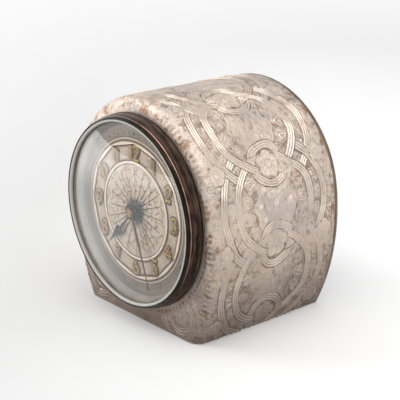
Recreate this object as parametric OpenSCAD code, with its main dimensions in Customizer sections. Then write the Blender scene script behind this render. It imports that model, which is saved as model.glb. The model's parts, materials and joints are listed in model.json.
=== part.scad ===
// Electric mantel clock: pressed metal case, convex glass, and a synchronous movement
// that is set by a knob at the back.
// The origin is the centre of the base on the table. +Z is up and the front faces -Y.
// Most pieces are drawn in the clock frame: x to the right, y up from the dial centre,
// z towards the front from the case's front face.

/* [Case] */
// Radius of the rounded crown
crown_r = 56; // [55:0.5:62]
// Height of the dial centre above the table
axis_z = 58; // [56:0.5:66]
// Radius of each swept flank
flank_r = 108; // [100:1:140]
// Angle above the horizontal at which the crown runs into a flank
flank_angle = 8; // [5:0.5:12]
// Depth from the front face to the rear edge
case_d = 84; // [80:1:110]
// Thickness of the pressed sheet
case_wall = 0.8; // [0.6:0.1:1.2]
// Radius of the front edge
front_round = 6; // [3:0.5:7]
// Radius of the rear edge
rear_round = 2.8; // [1:0.1:3]
// Height of the sheet's lower edge above the table
edge_lift = 0.4; // [0.2:0.1:0.8]

/* [Rear rim and cover] */
// Length of the plain rear rim along the case
rim_l = 4; // [3.5:0.25:8]
// Width of the rim across the rear opening
rim_w = 3; // [3:0.25:5]
// Thickness of the rear cover
cover_t = 1; // [0.8:0.1:1.6]
// Depth of the cover's outer face below the rear edge
cover_inset = 1; // [0.5:0.1:1.5]
// Radius of a screw lug
lug_r = 4; // [3.5:0.25:5]
// Length of a screw lug
lug_l = 8; // [6:0.5:12]
// Number of ventilation slots in each row
vent_count = 7; // [3:1:9]
// Length of a ventilation slot
vent_l = 9; // [6:0.5:12]
// Width of a ventilation slot
vent_w = 2; // [1.5:0.25:3]

/* [Base] */
// Thickness of the felt pad
felt_t = 1; // [0.8:0.1:2]
// Thickness of the base plate
base_t = 1.2; // [1:0.1:2]
// Side of the square blocks that the base plate is screwed to
block_w = 10; // [8:0.5:12]
// Height of those blocks
block_h = 6; // [5:0.5:9]

/* [Bezel and glass] */
// Outer radius of the bezel at the case
bezel_r = 48.8; // [48.4:0.1:49.4]
// Radius of the bezel's crest line
crest_r = 48; // [47.6:0.1:48.2]
// Height of the crest line above the case face
crest_h = 6.6; // [5.8:0.1:7.4]
// Radius of the bezel's front lip
lip_r = 46.9; // [46.6:0.1:47.2]
// Height of the front lip above the case face
lip_h = 9; // [8.6:0.1:10]
// Radius of the clear glass opening
glass_open_r = 45; // [43.8:0.1:45.2]
// Inner radius of the bezel wall
bezel_in_r = 46.5; // [46.3:0.05:46.5]
// Height of the glass where it leaves the bezel
glass_edge_h = 7.2; // [6.8:0.1:7.4]
// Rise of the glass above its edge
glass_rise = 7; // [5:0.25:9]
// Thickness of the glass
glass_t = 1.8; // [1.4:0.1:2]
// Thickness of the sheet between the dial and the glass
rehaut_t = 0.4; // [0.3:0.05:0.6]
// Width of a bezel tab
tab_w = 6; // [4:0.5:10]
// Thickness of a bezel tab
tab_t = 0.8; // [0.6:0.1:0.9]

/* [Dial] */
// Height of the dial's face above the case
dial_h = 1.2; // [1.1:0.05:1.6]
// Thickness of the dial sheet
dial_t = 0.5; // [0.4:0.05:0.5]
// Radius at which the sloping inner ring meets the dial
dial_r = 43; // [42:0.1:43.5]
// Outer radius of the raised ring round the numerals
outer_ring_r = 34.7; // [33:0.1:36]
// Outer radius of the raised ring inside the numerals
inner_ring_r = 25; // [23:0.1:26]
// Width of a raised ring
ring_w = 1.3; // [0.8:0.1:2]
// Height of a raised ring
ring_h = 0.35; // [0.2:0.05:0.5]

/* [Hands] */
// Length of the hour hand from the centre to its tip
hour_hand_r = 28.1; // [24:0.1:33]
// Length of the minute hand from the centre to its tip
minute_hand_r = 39.5; // [35:0.1:40.5]
// Half the width of the hour hand's spade
spade_r = 2.6; // [1.8:0.1:3.2]
// Distance of the spade from the centre
spade_at = 15; // [12:0.5:18]
// Thickness of a hand
hand_t = 0.35; // [0.25:0.05:0.4]
// Hour shown
hour_shown = 7; // [0:1:11]
// Minute shown
minute_shown = 26.67; // [0:0.01:59.99]

/* [Motion work] */
// Teeth of the pinion on the centre arbor
cannon_teeth = 12; // [10:1:14]
// Teeth of the minute wheel
minute_teeth = 36; // [30:1:40]
// Teeth of the minute wheel's pinion
minute_pinion_teeth = 10; // [8:1:12]
// Teeth of the hour wheel
hour_teeth = 40; // [36:1:44]
// Teeth of the setting pinion
set_teeth = 12; // [10:1:14]
// Module of the minute wheel
motion_module = 0.5; // [0.45:0.01:0.52]
// Thickness of a motion wheel
motion_wheel_t = 0.9; // [0.6:0.1:1]

/* [Going train] */
// Teeth of the centre wheel
centre_teeth = 60; // [56:1:64]
// Teeth of the intermediate pinion
inter_pinion_teeth = 8; // [7:1:9]
// Teeth of the intermediate wheel
inter_teeth = 64; // [60:1:66]
// Teeth of the rotor pinion
rotor_teeth = 8; // [7:1:9]
// Module of the centre wheel
centre_module = 0.44; // [0.42:0.01:0.46]
// Module of the intermediate wheel
inter_module = 0.38; // [0.36:0.01:0.4]
// Thickness of a train wheel
train_wheel_t = 1; // [0.8:0.1:1.2]
// Radius of the centre arbor
arbor_r = 1.2; // [1.1:0.05:1.3]
// Radius of the setting arbor
set_arbor_r = 1.5; // [1.2:0.05:1.6]
// Radius of a pivot
pivot_r = 0.6; // [0.4:0.05:0.7]
// Running clearance of a shaft in its hole
run_gap = 0.04; // [0.02:0.01:0.08]

/* [Plates and posts] */
// Width of the movement plates
plate_w = 56; // [54:0.5:60]
// Height of the movement plates
plate_h = 50; // [48:0.5:54]
// Thickness of a movement plate
plate_t = 1.2; // [1:0.1:1.6]
// Space between the plates
plate_gap = 12; // [11.5:0.25:15]
// Length of the spacers between the case and the front plate
spacer_l = 5; // [5:0.25:7]
// Radius of a pillar
pillar_r = 2.6; // [2.4:0.1:3]
// Radius of the screws that hold the movement
screw_r = 1.2; // [1:0.05:1.4]

/* [Motor] */
// Radius of the sealed rotor can
can_r = 13; // [11:0.25:13.25]
// Length of the sealed rotor can
can_l = 18; // [15:0.5:22]
// Thickness of the laminated stator
stator_t = 8; // [6:0.5:10]
// Half the width of the stator
stator_x = 19; // [18:0.25:20]
// Length of the posts between the rear plate and the stator
motor_post_l = 9.8; // [8:0.2:12]
// Height of the bar through the coil
core_h = 6; // [5:0.25:7]
// Thickness of the winding on the bobbin
winding_t = 6; // [4:0.25:6.5]
// Air gap between the rotor can and the poles
air_gap = 0.05; // [0.03:0.01:0.3]

/* [Knob and cord inlet] */
// Radius of the setting knob
knob_r = 6; // [5:0.25:7.5]
// Length of the setting knob
knob_l = 8; // [6:0.5:12]
// Number of flutes round the knob
flute_count = 24; // [16:1:30]
// Gap between the knob and the rear edge of the case
knob_gap = 1.5; // [0.5:0.1:3]
// Radius of the cord hole in the grommet
cord_r = 2.6; // [2.2:0.1:3]
// Wall of the grommet in the cover
grommet_wall = 1.6; // [1.2:0.1:2.2]
// Height of the cord inlet above the table
inlet_z = 12; // [11:0.5:14]

/* [Hidden] */

$fn = 64;
// Overlap that joins shapes or clears a cut
eps = 0.1;
// Gap between pieces that are set into each other
fit_gap = 0.15;

// Depth of the fine seam where the crown meets the flanks
seam_step = 0.02;
// Case outline: centre of each flank's arc, to one side of the middle
flank_x = (crown_r - flank_r) * cos(flank_angle);
flank_y = (crown_r - flank_r) * sin(flank_angle);
rim_face_z = -(case_d - rim_l);
cover_front_z = -(case_d - cover_inset - cover_t);
// Half the width of the case at a height y in the clock frame
function flank_half_width(y) = flank_x + sqrt(flank_r * flank_r - (y - flank_y) * (y - flank_y));

// Rear cover screws: the upper pair on the crown, the lower pair beside the base
lug_angle = 48;
lug_merge = 0.6;
upper_lug_r = crown_r - rim_w - lug_r + lug_merge;
lower_lug_y = -axis_z + edge_lift + rim_w + lug_r - lug_merge;
lower_lug_x = flank_half_width(lower_lug_y) - rim_w - lug_r + lug_merge;
lug_places = [
    [upper_lug_r * cos(lug_angle), upper_lug_r * sin(lug_angle)],
    [-upper_lug_r * cos(lug_angle), upper_lug_r * sin(lug_angle)],
    [lower_lug_x, lower_lug_y],
    [-lower_lug_x, lower_lug_y]
];
cover_screw_r = 1.2;
cover_screw_l = lug_l - cover_t;
cover_screw_head_r = 2.2;
cover_screw_head_t = 1;
// Height above the dial centre of the lower row of slots, and the space between the rows
vent_y = 26;
cover_hole_gap = 1;
vent_row_gap = 3;
slot_cut_w = 0.5;

// Base
felt_top_y = -axis_z + felt_t;
base_top_y = felt_top_y + base_t;
// Room between the base plate and the flanks
base_side_gap = 0.5;
base_rear_gap = 0.2;
block_x = flank_half_width(base_top_y) - case_wall - block_w / 2 + lug_merge;
block_front_z = -case_wall - block_w / 2 + lug_merge;
block_rear_z = cover_front_z + lug_l + block_w / 2 + 1;
base_screw_head_r = 2.4;
base_screw_head_t = 0.8 * felt_t;
base_screw_l = 0.8 * block_h;
// How much smaller the felt is than the base plate, all round
felt_inset = 1.5;
felt_rear_gap = 1;
felt_hole_r = base_screw_head_r + 0.4;

// Bezel: the tabs pass the case and are bent inwards behind it
tab_r = bezel_in_r + 0.2;
tab_reach = 4.5;
// Steps of the bezel's section, from the foot to the crest and over the front lip
foot_bead_h = 1.2;
foot_step = 0.35;
foot_step_h = 1.8;
neck_h = 4.4;
crest_step = 0.2;
crest_fall_h = 0.8;
brow_step = 0.25;
brow_h = 1;
lip_step = 0.35;
lip_w = 0.5;
// Gap between the lip's underside and the glass
glass_gap = 0.2;
lip_bevel = 0.7;
tab_turns = [45, 135, 225, 315];

// Glass: two spheres about one centre behind the dial
glass_sphere_r = (glass_open_r * glass_open_r + glass_rise * glass_rise) / (2 * glass_rise);
glass_centre_z = glass_edge_h + glass_rise - glass_sphere_r;
glass_rim_r = bezel_in_r - fit_gap;
glass_inner_r = glass_sphere_r - glass_t;
// Height of the glass's inner and outer face at a distance r from the middle
function glass_back_z(r) = glass_centre_z + sqrt(glass_inner_r * glass_inner_r - r * r);
function glass_front_z(r) = glass_centre_z + sqrt(glass_sphere_r * glass_sphere_r - r * r);
glass_seat_gap = 0.05;
rehaut_top_z = glass_back_z(glass_rim_r) - glass_seat_gap;
rehaut_turn = 0.2;

// Height of a numeral's place, and the rim that stands the dial off the case
dial_back_z = dial_h - dial_t;
dial_rim_w = 1;
dial_rim_r = bezel_in_r - fit_gap;
dial_hole_r = 3;
dial_pin_at = 38;
dial_pin_r = 0.9;
dial_pin_out = 0.5;

// Case front: the centre hole that the arbors pass
front_hole_r = 9;
// Inside the front edge, where the face starts to curve
front_flat_gap = 0.3;

// Motion work: heights of the gears in front of the front plate
plate_front_z = -case_wall - spacer_l;
plate_back_z = plate_front_z - plate_t;
rear_plate_front_z = plate_back_z - plate_gap;
rear_plate_back_z = rear_plate_front_z - plate_t;
cannon_lift = 0.9;
cannon_back_z = plate_front_z + cannon_lift;
cannon_teeth_t = 1.6;
cannon_front_z = cannon_back_z + cannon_teeth_t;
minute_wheel_back_z = cannon_back_z + (cannon_teeth_t - motion_wheel_t) / 2;
minute_wheel_front_z = minute_wheel_back_z + motion_wheel_t;
motion_step = 0.45;
hour_wheel_back_z = cannon_front_z + motion_step;
hour_wheel_front_z = hour_wheel_back_z + motion_wheel_t;
hour_module = motion_module * (cannon_teeth + minute_teeth) / (minute_pinion_teeth + hour_teeth);
motion_distance = motion_module * (cannon_teeth + minute_teeth) / 2;
set_distance = motion_module * (set_teeth + minute_teeth) / 2;
hour_pipe_r = 2.1;
hour_hub_r = 2.8;
hour_hub_out = 0.4;
hour_pipe_out = 0.3;
cannon_hub_r = arbor_r + 0.5;
cannon_hub_gap = 0.2;
minute_pinion_front_z = hour_wheel_front_z + 0.2;

// Hands, from the dial outwards
hour_hand_lift = 1.2;
hand_space = 1;
hour_hand_z = dial_h + hour_hand_lift;
hour_collet_r = 3.4;
hour_stem_w = 2.2;
hour_waist_w = 1.4;
hour_point_w = 1.8;
hour_tip_w = 0.3;
minute_hand_z = hour_hand_z + hand_t + hand_space;
minute_hub_r = 4.2;
minute_root_w = 1.5;
minute_tip_w = 0.36;
nut_z = minute_hand_z + hand_t;
nut_r = 3.2;
nut_crown_r = 2.5;
nut_h = 1.1;
nut_step_h = 0.65;
arbor_tip_r = 1;
arbor_tip_l = 0.8;
nut_bore_l = 0.85;
arbor_tip_z = nut_z + arbor_tip_l;
minute_angle = 6 * minute_shown;
hour_angle = 30 * hour_shown + minute_shown / 2;

// Going train: heights of the gears between the plates
shoulder_gap = 0.6;
shoulder_t = 1;
shoulder_r = 3.2;
arbor_end_out = 0.3;
collar_front_z = plate_back_z - shoulder_gap;
centre_wheel_front_z = collar_front_z - shoulder_t;
centre_wheel_back_z = centre_wheel_front_z - train_wheel_t;
// Bowed spring behind the centre wheel, and the collar that holds it
spring_t = 0.3;
spring_h = 1.1;
spring_in_r = arbor_r + 0.1;
spring_out_r = 3.6;
spring_seat_w = 0.6;
clutch_collar_z = centre_wheel_back_z - spring_h;
clutch_collar_t = 1.2;
clutch_collar_r = 2.6;
inter_pinion_t = 2;
inter_pinion_front_z = centre_wheel_front_z + (inter_pinion_t - train_wheel_t) / 2;
inter_wheel_lift = 4.4;
inter_wheel_front_z = rear_plate_front_z + inter_wheel_lift;
inter_arbor_r = 1;
end_shake = 0.2;
rotor_pinion_t = 2.2;
rotor_pinion_front_z = inter_wheel_front_z + (rotor_pinion_t - train_wheel_t) / 2;
rotor_shaft_r = 0.8;
rotor_bore_l = 5;
rotor_shaft_end_gap = 0.2;
rotor_shaft_hole_r = 3.5;
// Wheel arms: the width of the solid rim below the teeth, in modules, and of an arm
wheel_rim = 3.5;
arm_w = 1.6;
wheel_hub_r = 3.6;
// Pushed fit of a fixed piece on its arbor, and end play of a wheel on its stud
push_gap = 0.01;
end_play = 0.1;
centre_distance = centre_module * (centre_teeth + inter_pinion_teeth) / 2;
rotor_distance = inter_module * (inter_teeth + rotor_teeth) / 2;

// Directions from one arbor to the next, and the places that they give
minute_dir = 210;
set_dir = 260;
inter_dir = 75;
rotor_dir = -60;
minute_at = place([0, 0], motion_distance, minute_dir);
set_at = place(minute_at, set_distance, set_dir);
inter_at = place([0, 0], centre_distance, inter_dir);
rotor_at = place(inter_at, rotor_distance, rotor_dir);
function place(from, distance, dir) = from + distance * [cos(dir), sin(dir)];

// Turn of the second gear of a pair that brings a gap to the first one's tooth
function mesh_turn(teeth_a, turn_a, dir, teeth_b) =
    dir + 180 - (0.5 - (dir - turn_a) * teeth_a / 360) * 360 / teeth_b;
cannon_turn = 0;
minute_turn = mesh_turn(cannon_teeth, cannon_turn, minute_dir, minute_teeth);
set_turn = mesh_turn(minute_teeth, minute_turn, set_dir, set_teeth);
minute_pinion_turn = 0;
hour_turn = mesh_turn(minute_pinion_teeth, minute_pinion_turn, minute_dir + 180, hour_teeth);
centre_turn = 0;
inter_pinion_turn = mesh_turn(centre_teeth, centre_turn, inter_dir, inter_pinion_teeth);
inter_turn = 0;
rotor_turn = mesh_turn(inter_teeth, inter_turn, rotor_dir, rotor_teeth);

// Tooth form: thickness, addendum and dedendum in modules
wheel_form = [1.45, 1.12, 1.4];
leaf_form = [1.1, 0.72, 1.65];
// Steps from the pitch circle to the tip of a tooth
tip_steps = [0, 0.45, 0.75, 0.93];

// Plates: pillars stand at the corners
pillar_x = 24;
pillar_y = 21;
pillar_places = [
    [pillar_x, pillar_y], [-pillar_x, pillar_y],
    [pillar_x, -pillar_y], [-pillar_x, -pillar_y]
];
plate_corner_r = 4;
thread_gap = 0.05;
thread_l = 5;
// Room left past the end of a screw
thread_end = 0.5;
screw_head_r = 2.5;
case_screw_head_t = 0.5;
pillar_screw_head_t = 1.4;
bush_r = 3;
bush_l = plate_t + 0.6;
set_collar_r = 2.6;
set_collar_t = 1;
set_collar_gap = 1;
stud_r = 1;
stud_foot_r = 1.7;
stud_head_r = 1.9;
stud_head_t = 0.5;

// Motor, placed about the rotor
stator_front_z = rear_plate_back_z - motor_post_l;
stator_back_z = stator_front_z - stator_t;
stator_top = 17;
stator_mid_z = (stator_front_z + stator_back_z) / 2;
can_front_z = stator_mid_z + can_l / 2;
can_step = 1;
motor_nut_r = 2.1;
motor_nut_t = 1.2;
terminal_x = 6;
pole_gap = 3;
window_top = -17;
window_x = 10;
core_top = -30;
core_notch = 5;
core_y = core_top - core_h / 2;
bobbin_wall = 0.9;
bobbin_gap = 0.2;
// How far the winding stays below the flanges, and its corner radius
winding_drop = 0.6;
winding_corner_r = 3;
flange_t = 1;
bobbin_l = 2 * window_x - 0.4;
motor_post_r = 2.2;
motor_posts_at = [[-12, 13], [12, 13], [-14.5, -24]];
motor_screw_head_t = 1.4;
slot_x = 7.2;
slot_w = 1.3;
slot_depth = 14.8;
loop_low = 13.3;
loop_t = 1.1;
loop_gap = 0.1;
terminal_w = 2;
terminal_t = 0.5;
terminal_l = 4;

// Knob and inlet
knob_front_z = -case_d - knob_gap;
knob_back_z = knob_front_z - knob_l;
knob_bevel = 0.5;
knob_hub_r = 3;
// Closed end of the knob behind its arbor
knob_cap_t = 2;
flute_r = 0.45;
flute_out = 0.14;
inlet_y = inlet_z - axis_z;
grommet_r = cord_r + grommet_wall;
grommet_flange_w = 1.8;
grommet_flange_r = grommet_r + grommet_flange_w;
grommet_flange_t = 1.8;
grommet_bevel = 1;
grommet_lip = 0.6;

// The clock frame, put in its place
module clock() {
    translate([0, -case_d / 2, axis_z]) rotate([90, 0, 0]) children();
}

// A shape raised from one height to another in the clock frame
module raised(from_z, to_z) {
    translate([0, 0, from_z]) linear_extrude(to_z - from_z) children();
}

// A round bar or bore between two heights
module bar(at, r, from_z, to_z) {
    translate([at[0], at[1], from_z]) cylinder(r = r, h = to_z - from_z);
}

// A disc between two heights, its edge rounded at the front or, with a negative radius, at the rear
module edge_disc(r, from_z, to_z, edge_r) {
    round_r = abs(edge_r);
    side = edge_r > 0 ? 1 : -1;
    corner_z = (edge_r > 0 ? to_z : from_z) - edge_r;
    rotate_extrude($fn = 180) difference() {
        translate([0, from_z]) square([r, to_z - from_z]);
        translate([r - round_r, corner_z]) difference() {
            scale([1, side]) square(round_r + eps);
            circle(r = round_r);
        }
    }
}

// Wedge above the two lines where the crown runs into the flanks
module crown_sector(size) {
    polygon([
        [0, 0],
        size * [cos(flank_angle), sin(flank_angle)],
        size * [1, 1.2],
        size * [-1, 1.2],
        size * [-cos(flank_angle), sin(flank_angle)]
    ]);
}

// Solid of the case outline, set in from the outside, with one edge rounded
module case_body(inset, from_z, to_z, edge_r, bottom_y) {
    size = 2 * crown_r;
    intersection() {
        union() {
            edge_disc(
                crown_r - inset - seam_step,
                from_z + (edge_r < 0 ? seam_step : 0),
                to_z - (edge_r > 0 ? seam_step : 0),
                sign(edge_r) * (abs(edge_r) - seam_step)
            );
            difference() {
                both_flanks() edge_disc(flank_r - inset, from_z, to_z, edge_r);
                raised(from_z - eps, to_z + eps) crown_sector(2 * size);
            }
        }
        translate([-size, bottom_y, from_z - eps]) cube([2 * size, 2 * size, to_z - from_z + 2 * eps]);
    }
}

// What the two flank shapes have in common
module both_flanks() {
    intersection() {
        translate([flank_x, flank_y]) children();
        translate([-flank_x, flank_y]) children();
    }
}

// A straight length of the case outline with square edges
module case_band(inset, from_z, to_z, bottom_y) {
    size = 2 * crown_r;
    raised(from_z, to_z) intersection() {
        union() {
            circle(r = crown_r - inset - seam_step, $fn = 180);
            difference() {
                both_flanks() circle(r = flank_r - inset, $fn = 180);
                crown_sector(2 * size);
            }
        }
        translate([-size, bottom_y]) square([2 * size, 2 * size]);
    }
}

// A rectangle with round corners, about its centre
module round_plate(w, h, r) {
    square([w - 2 * r, h], center = true);
    square([w, h - 2 * r], center = true);
    for (x = [-1, 1], y = [-1, 1])
        translate([x * (w / 2 - r), y * (h / 2 - r)]) circle(r = r);
}

// Angle, in degrees, of half a tooth at the pitch circle
function half_tooth(teeth, form) = form[0] / teeth * 180 / PI;

// One side of a tooth, as radius and angle, from the root to the tip
function tooth_side(teeth, unit, form) = concat(
    [[unit * (teeth / 2 - form[2]), half_tooth(teeth, form)]],
    [for (s = tip_steps) [unit * (teeth / 2 + form[1] * s), half_tooth(teeth, form) * (1 - s * s)]]
);

// A whole gear outline: each tooth goes up one side and down the other
module gear_outline(teeth, unit, form) {
    side = tooth_side(teeth, unit, form);
    last = len(side) - 1;
    polygon([
        for (k = [0:teeth - 1])
            for (i = [0:2 * last + 1])
                let (p = i <= last ? side[i] : side[2 * last + 1 - i],
                     a = 360 * k / teeth + (i <= last ? -p[1] : p[1]))
                p[0] * [cos(a), sin(a)]
    ]);
}

// Openings between the arms of a wheel
module wheel_windows(arms, hub_r, rim_r, w) {
    difference() {
        circle(r = rim_r);
        circle(r = hub_r);
        for (k = [0:arms - 1]) rotate(360 * k / arms)
            translate([0, -w / 2]) square([rim_r + eps, w]);
    }
}

module case_shell() color("#b9aca0") clock() {
    difference() {
        case_body(0, rim_face_z, 0, front_round, -axis_z + edge_lift);
        case_body(case_wall, rim_face_z - 1, -case_wall, front_round - case_wall, -axis_z - 1);
        bar([0, 0], crown_r - front_round - front_flat_gap, -case_wall - eps, -case_wall);
        bar([0, 0], front_hole_r, -case_wall - eps, eps);
        for (p = pillar_places) bar(p, screw_r + thread_gap, -case_wall - eps, eps);
        for (a = tab_turns) rotate(a) raised(-case_wall - eps, eps)
            translate([tab_r - eps, -tab_w / 2 - fit_gap]) square([tab_t + 2 * eps, tab_w + 2 * fit_gap]);
        for (s = [-1, 1]) bar([0, s * dial_pin_at], dial_pin_r + fit_gap, -case_wall - eps, eps);
    }
    for (s = [-1, 1], z = [block_front_z, block_rear_z]) difference() {
        intersection() {
            translate([s * block_x - block_w / 2, base_top_y, z - block_w / 2])
                cube([block_w, block_h, block_w]);
            case_body(case_wall / 2, rim_face_z, -case_wall / 2, front_round - case_wall / 2, -axis_z);
        }
        translate([s * block_x, base_top_y - eps, z]) rotate([-90, 0, 0])
            cylinder(r = screw_r + thread_gap, h = base_screw_l + eps);
    }
}

module rear_rim() color("#a89c92") clock() difference() {
    union() {
        difference() {
            case_body(0, -case_d, rim_face_z, -rear_round, -axis_z + edge_lift);
            case_band(rim_w, -case_d - eps, rim_face_z + eps, -axis_z + edge_lift + rim_w);
        }
        for (p = lug_places) bar(p, lug_r, cover_front_z, cover_front_z + lug_l);
    }
    for (p = lug_places) bar(p, cover_screw_r + thread_gap, cover_front_z - eps, cover_front_z + lug_l + eps);
}

module rear_cover() color("#6f6a64") clock() difference() {
    case_band(rim_w + fit_gap, cover_front_z - cover_t, cover_front_z, -axis_z + edge_lift + rim_w + fit_gap);
    for (p = lug_places) bar(p, cover_screw_r + fit_gap, cover_front_z - cover_t - eps, cover_front_z + eps);
    bar(set_at, set_arbor_r + cover_hole_gap, cover_front_z - cover_t - eps, cover_front_z + eps);
    bar([0, inlet_y], grommet_r, cover_front_z - cover_t - eps, cover_front_z + eps);
    for (row = [0, 1], k = [0:vent_count - 1])
        raised(cover_front_z - cover_t - eps, cover_front_z + eps)
            translate([(k - (vent_count - 1) / 2) * 2 * vent_w, vent_y + row * (vent_l + vent_row_gap)])
                vent_slot();
}

module vent_slot() {
    square([vent_w, vent_l - vent_w], center = true);
    for (s = [-1, 1]) translate([0, s * (vent_l - vent_w) / 2]) circle(r = vent_w / 2);
}

// A cheese-head screw whose head lies behind the height z and whose shank runs to the front
module screw_forward(at, z, r, length, head_r, head_t) {
    difference() {
        union() {
            bar(at, head_r, z - head_t, z);
            bar(at, r, z - eps, z + length);
        }
        translate([at[0], at[1], z - head_t]) cube([3 * head_r, slot_cut_w, head_t], center = true);
    }
}

module rear_cover_screws() color("#8a8378") clock()
    for (p = lug_places)
        screw_forward(p, cover_front_z - cover_t, cover_screw_r, cover_screw_l,
            cover_screw_head_r, cover_screw_head_t);

module base_plate() color("#777268") clock() difference() {
    base_slab(case_wall + base_side_gap, rim_face_z + base_rear_gap, felt_top_y, base_t);
    for (s = [-1, 1], z = [block_front_z, block_rear_z])
        translate([s * block_x, felt_top_y - eps, z]) rotate([-90, 0, 0])
            cylinder(r = screw_r + fit_gap, h = base_t + 2 * eps);
}

// A flat slab of the case outline, set in all round, with its underside at a height y
module base_slab(inset, rear_z, y, t) {
    intersection() {
        both_flanks() edge_disc(flank_r - inset, rear_z, -inset, max(front_round - inset, 1));
        translate([-crown_r, y, rear_z - eps]) cube([2 * crown_r, t, -rear_z]);
    }
}

module base_felt() color("#3d4a3a") clock() difference() {
    base_slab(case_wall + base_side_gap + felt_inset, rim_face_z + felt_rear_gap, -axis_z, felt_t);
    for (s = [-1, 1], z = [block_front_z, block_rear_z])
        translate([s * block_x, -axis_z - eps, z]) rotate([-90, 0, 0])
            cylinder(r = felt_hole_r, h = felt_t + 2 * eps);
}

module base_screws() color("#8a8378") clock()
    for (s = [-1, 1], z = [block_front_z, block_rear_z])
        translate([s * block_x, felt_top_y, z]) rotate([-90, 0, 0]) difference() {
            union() {
                translate([0, 0, -base_screw_head_t]) cylinder(r = base_screw_head_r, h = base_screw_head_t);
                cylinder(r = screw_r, h = base_t + base_screw_l - thread_end);
            }
            translate([0, 0, -base_screw_head_t])
                cube([3 * base_screw_head_r, slot_cut_w, base_screw_head_t], center = true);
        }

module cord_grommet() color("#2b2724") clock()
    translate([0, inlet_y, 0]) rotate_extrude() polygon([
        [cord_r, cover_front_z + grommet_flange_t],
        [cord_r, cover_front_z - cover_t - grommet_flange_t],
        [grommet_flange_r - grommet_bevel, cover_front_z - cover_t - grommet_flange_t],
        [grommet_flange_r, cover_front_z - cover_t - grommet_lip],
        [grommet_flange_r, cover_front_z - cover_t],
        [grommet_r - push_gap, cover_front_z - cover_t],
        [grommet_r - push_gap, cover_front_z],
        [grommet_flange_r, cover_front_z],
        [grommet_flange_r - grommet_bevel, cover_front_z + grommet_flange_t]
    ]);

module bezel_ring() color("#4a3328") clock() {
    rotate_extrude($fn = 180) polygon([
        [bezel_in_r, 0],
        [bezel_r, 0],
        [bezel_r, foot_bead_h],
        [bezel_r - foot_step, foot_step_h],
        [bezel_r - foot_step, neck_h],
        [crest_r + crest_step, crest_h - crest_fall_h],
        [crest_r, crest_h],
        [crest_r - brow_step, crest_h + brow_h],
        [lip_r + lip_step, lip_h - lip_step],
        [lip_r, lip_h],
        [lip_r - lip_w, lip_h],
        [glass_open_r + lip_bevel, glass_front_z(glass_open_r) + glass_gap + lip_bevel],
        [glass_open_r, glass_front_z(glass_open_r) + glass_gap],
        [bezel_in_r, glass_front_z(bezel_in_r) + glass_gap]
    ]);
    for (a = tab_turns) rotate(a) {
        raised(-case_wall - tab_t, eps) translate([tab_r, -tab_w / 2]) square([tab_t, tab_w]);
        raised(-case_wall - tab_t, -case_wall)
            translate([tab_r - tab_reach, -tab_w / 2]) square([tab_reach + tab_t, tab_w]);
    }
}

// The spheres are turned on their side, so that their poles lie outside the glass
module bezel_glass() color("#dfe8e4", 0.35) clock() intersection() {
    translate([0, 0, glass_centre_z]) rotate([90, 0, 0]) difference() {
        sphere(r = glass_sphere_r, $fn = 360);
        sphere(r = glass_inner_r, $fn = 360);
    }
    cylinder(r = glass_rim_r, h = 3 * glass_edge_h, $fn = 180);
}

module rehaut_ring() color("#a59aa2") clock() rotate_extrude($fn = 180) polygon([
    [dial_r, dial_h],
    [dial_r + rehaut_t, dial_h],
    [glass_open_r, rehaut_top_z - rehaut_t],
    [glass_rim_r, rehaut_top_z - rehaut_t],
    [glass_rim_r, rehaut_top_z],
    [glass_open_r - rehaut_turn, rehaut_top_z]
]);

// A raised ring with a rounded top, pressed up from the dial sheet
module dial_ring(r) {
    rotate_extrude($fn = 120) translate([r - ring_w, dial_h - eps]) intersection() {
        square([ring_w, ring_h + eps]);
        translate([ring_w / 2, ring_h + eps - ring_w]) circle(r = ring_w);
    }
}

module dial_plate() color("#d9cfbd") clock() difference() {
    union() {
        bar([0, 0], dial_rim_r, dial_back_z, dial_h);
        rotate_extrude($fn = 180) translate([dial_rim_r - dial_rim_w, 0]) square([dial_rim_w, dial_h]);
        dial_ring(outer_ring_r);
        dial_ring(inner_ring_r);
        for (s = [-1, 1]) bar([0, s * dial_pin_at], dial_pin_r, -case_wall - dial_pin_out, dial_back_z + eps);
    }
    bar([0, 0], dial_hole_r, -eps, dial_h + eps);
}

module movement_spacers() color("#b08d4f") clock()
    for (p = pillar_places) difference() {
        bar(p, pillar_r, plate_front_z, -case_wall);
        bar(p, screw_r + fit_gap, plate_front_z - eps, -case_wall + eps);
    }

// Long screws from the case face, through spacer and front plate, into the pillars
module movement_screws() color("#8a8378") clock()
    for (p = pillar_places) difference() {
        union() {
            bar(p, screw_head_r, 0, case_screw_head_t);
            bar(p, screw_r, plate_back_z - thread_l + thread_end, eps);
        }
        translate([p[0], p[1], case_screw_head_t])
            cube([3 * screw_head_r, slot_cut_w, case_screw_head_t], center = true);
    }

// A movement plate with its pillar holes
module plate(front_z, holes, hole_r) {
    difference() {
        raised(front_z - plate_t, front_z) round_plate(plate_w, plate_h, plate_corner_r);
        for (p = pillar_places) bar(p, screw_r + fit_gap, front_z - plate_t - eps, front_z + eps);
        for (i = [0:len(holes) - 1]) bar(holes[i], hole_r[i], front_z - plate_t - eps, front_z + eps);
    }
}

module front_plate() color("#c39a52") clock()
    plate(plate_front_z,
        [[0, 0], set_at, inter_at, minute_at],
        [bush_r, bush_r, pivot_r + run_gap, stud_r]);

module rear_plate() color("#c39a52") clock()
    plate(rear_plate_front_z,
        concat([[0, 0], set_at, inter_at, rotor_at], [for (p = motor_posts_at) rotor_at + p]),
        concat([bush_r, bush_r, pivot_r + run_gap, rotor_shaft_hole_r],
            [for (p = motor_posts_at) screw_r + fit_gap]));

module plate_pillars() color("#b08d4f") clock()
    for (p = pillar_places) difference() {
        bar(p, pillar_r, rear_plate_front_z, plate_back_z);
        bar(p, screw_r + thread_gap, plate_back_z - thread_l, plate_back_z + eps);
        bar(p, screw_r + thread_gap, rear_plate_front_z - eps, rear_plate_front_z + thread_l);
    }

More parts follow.
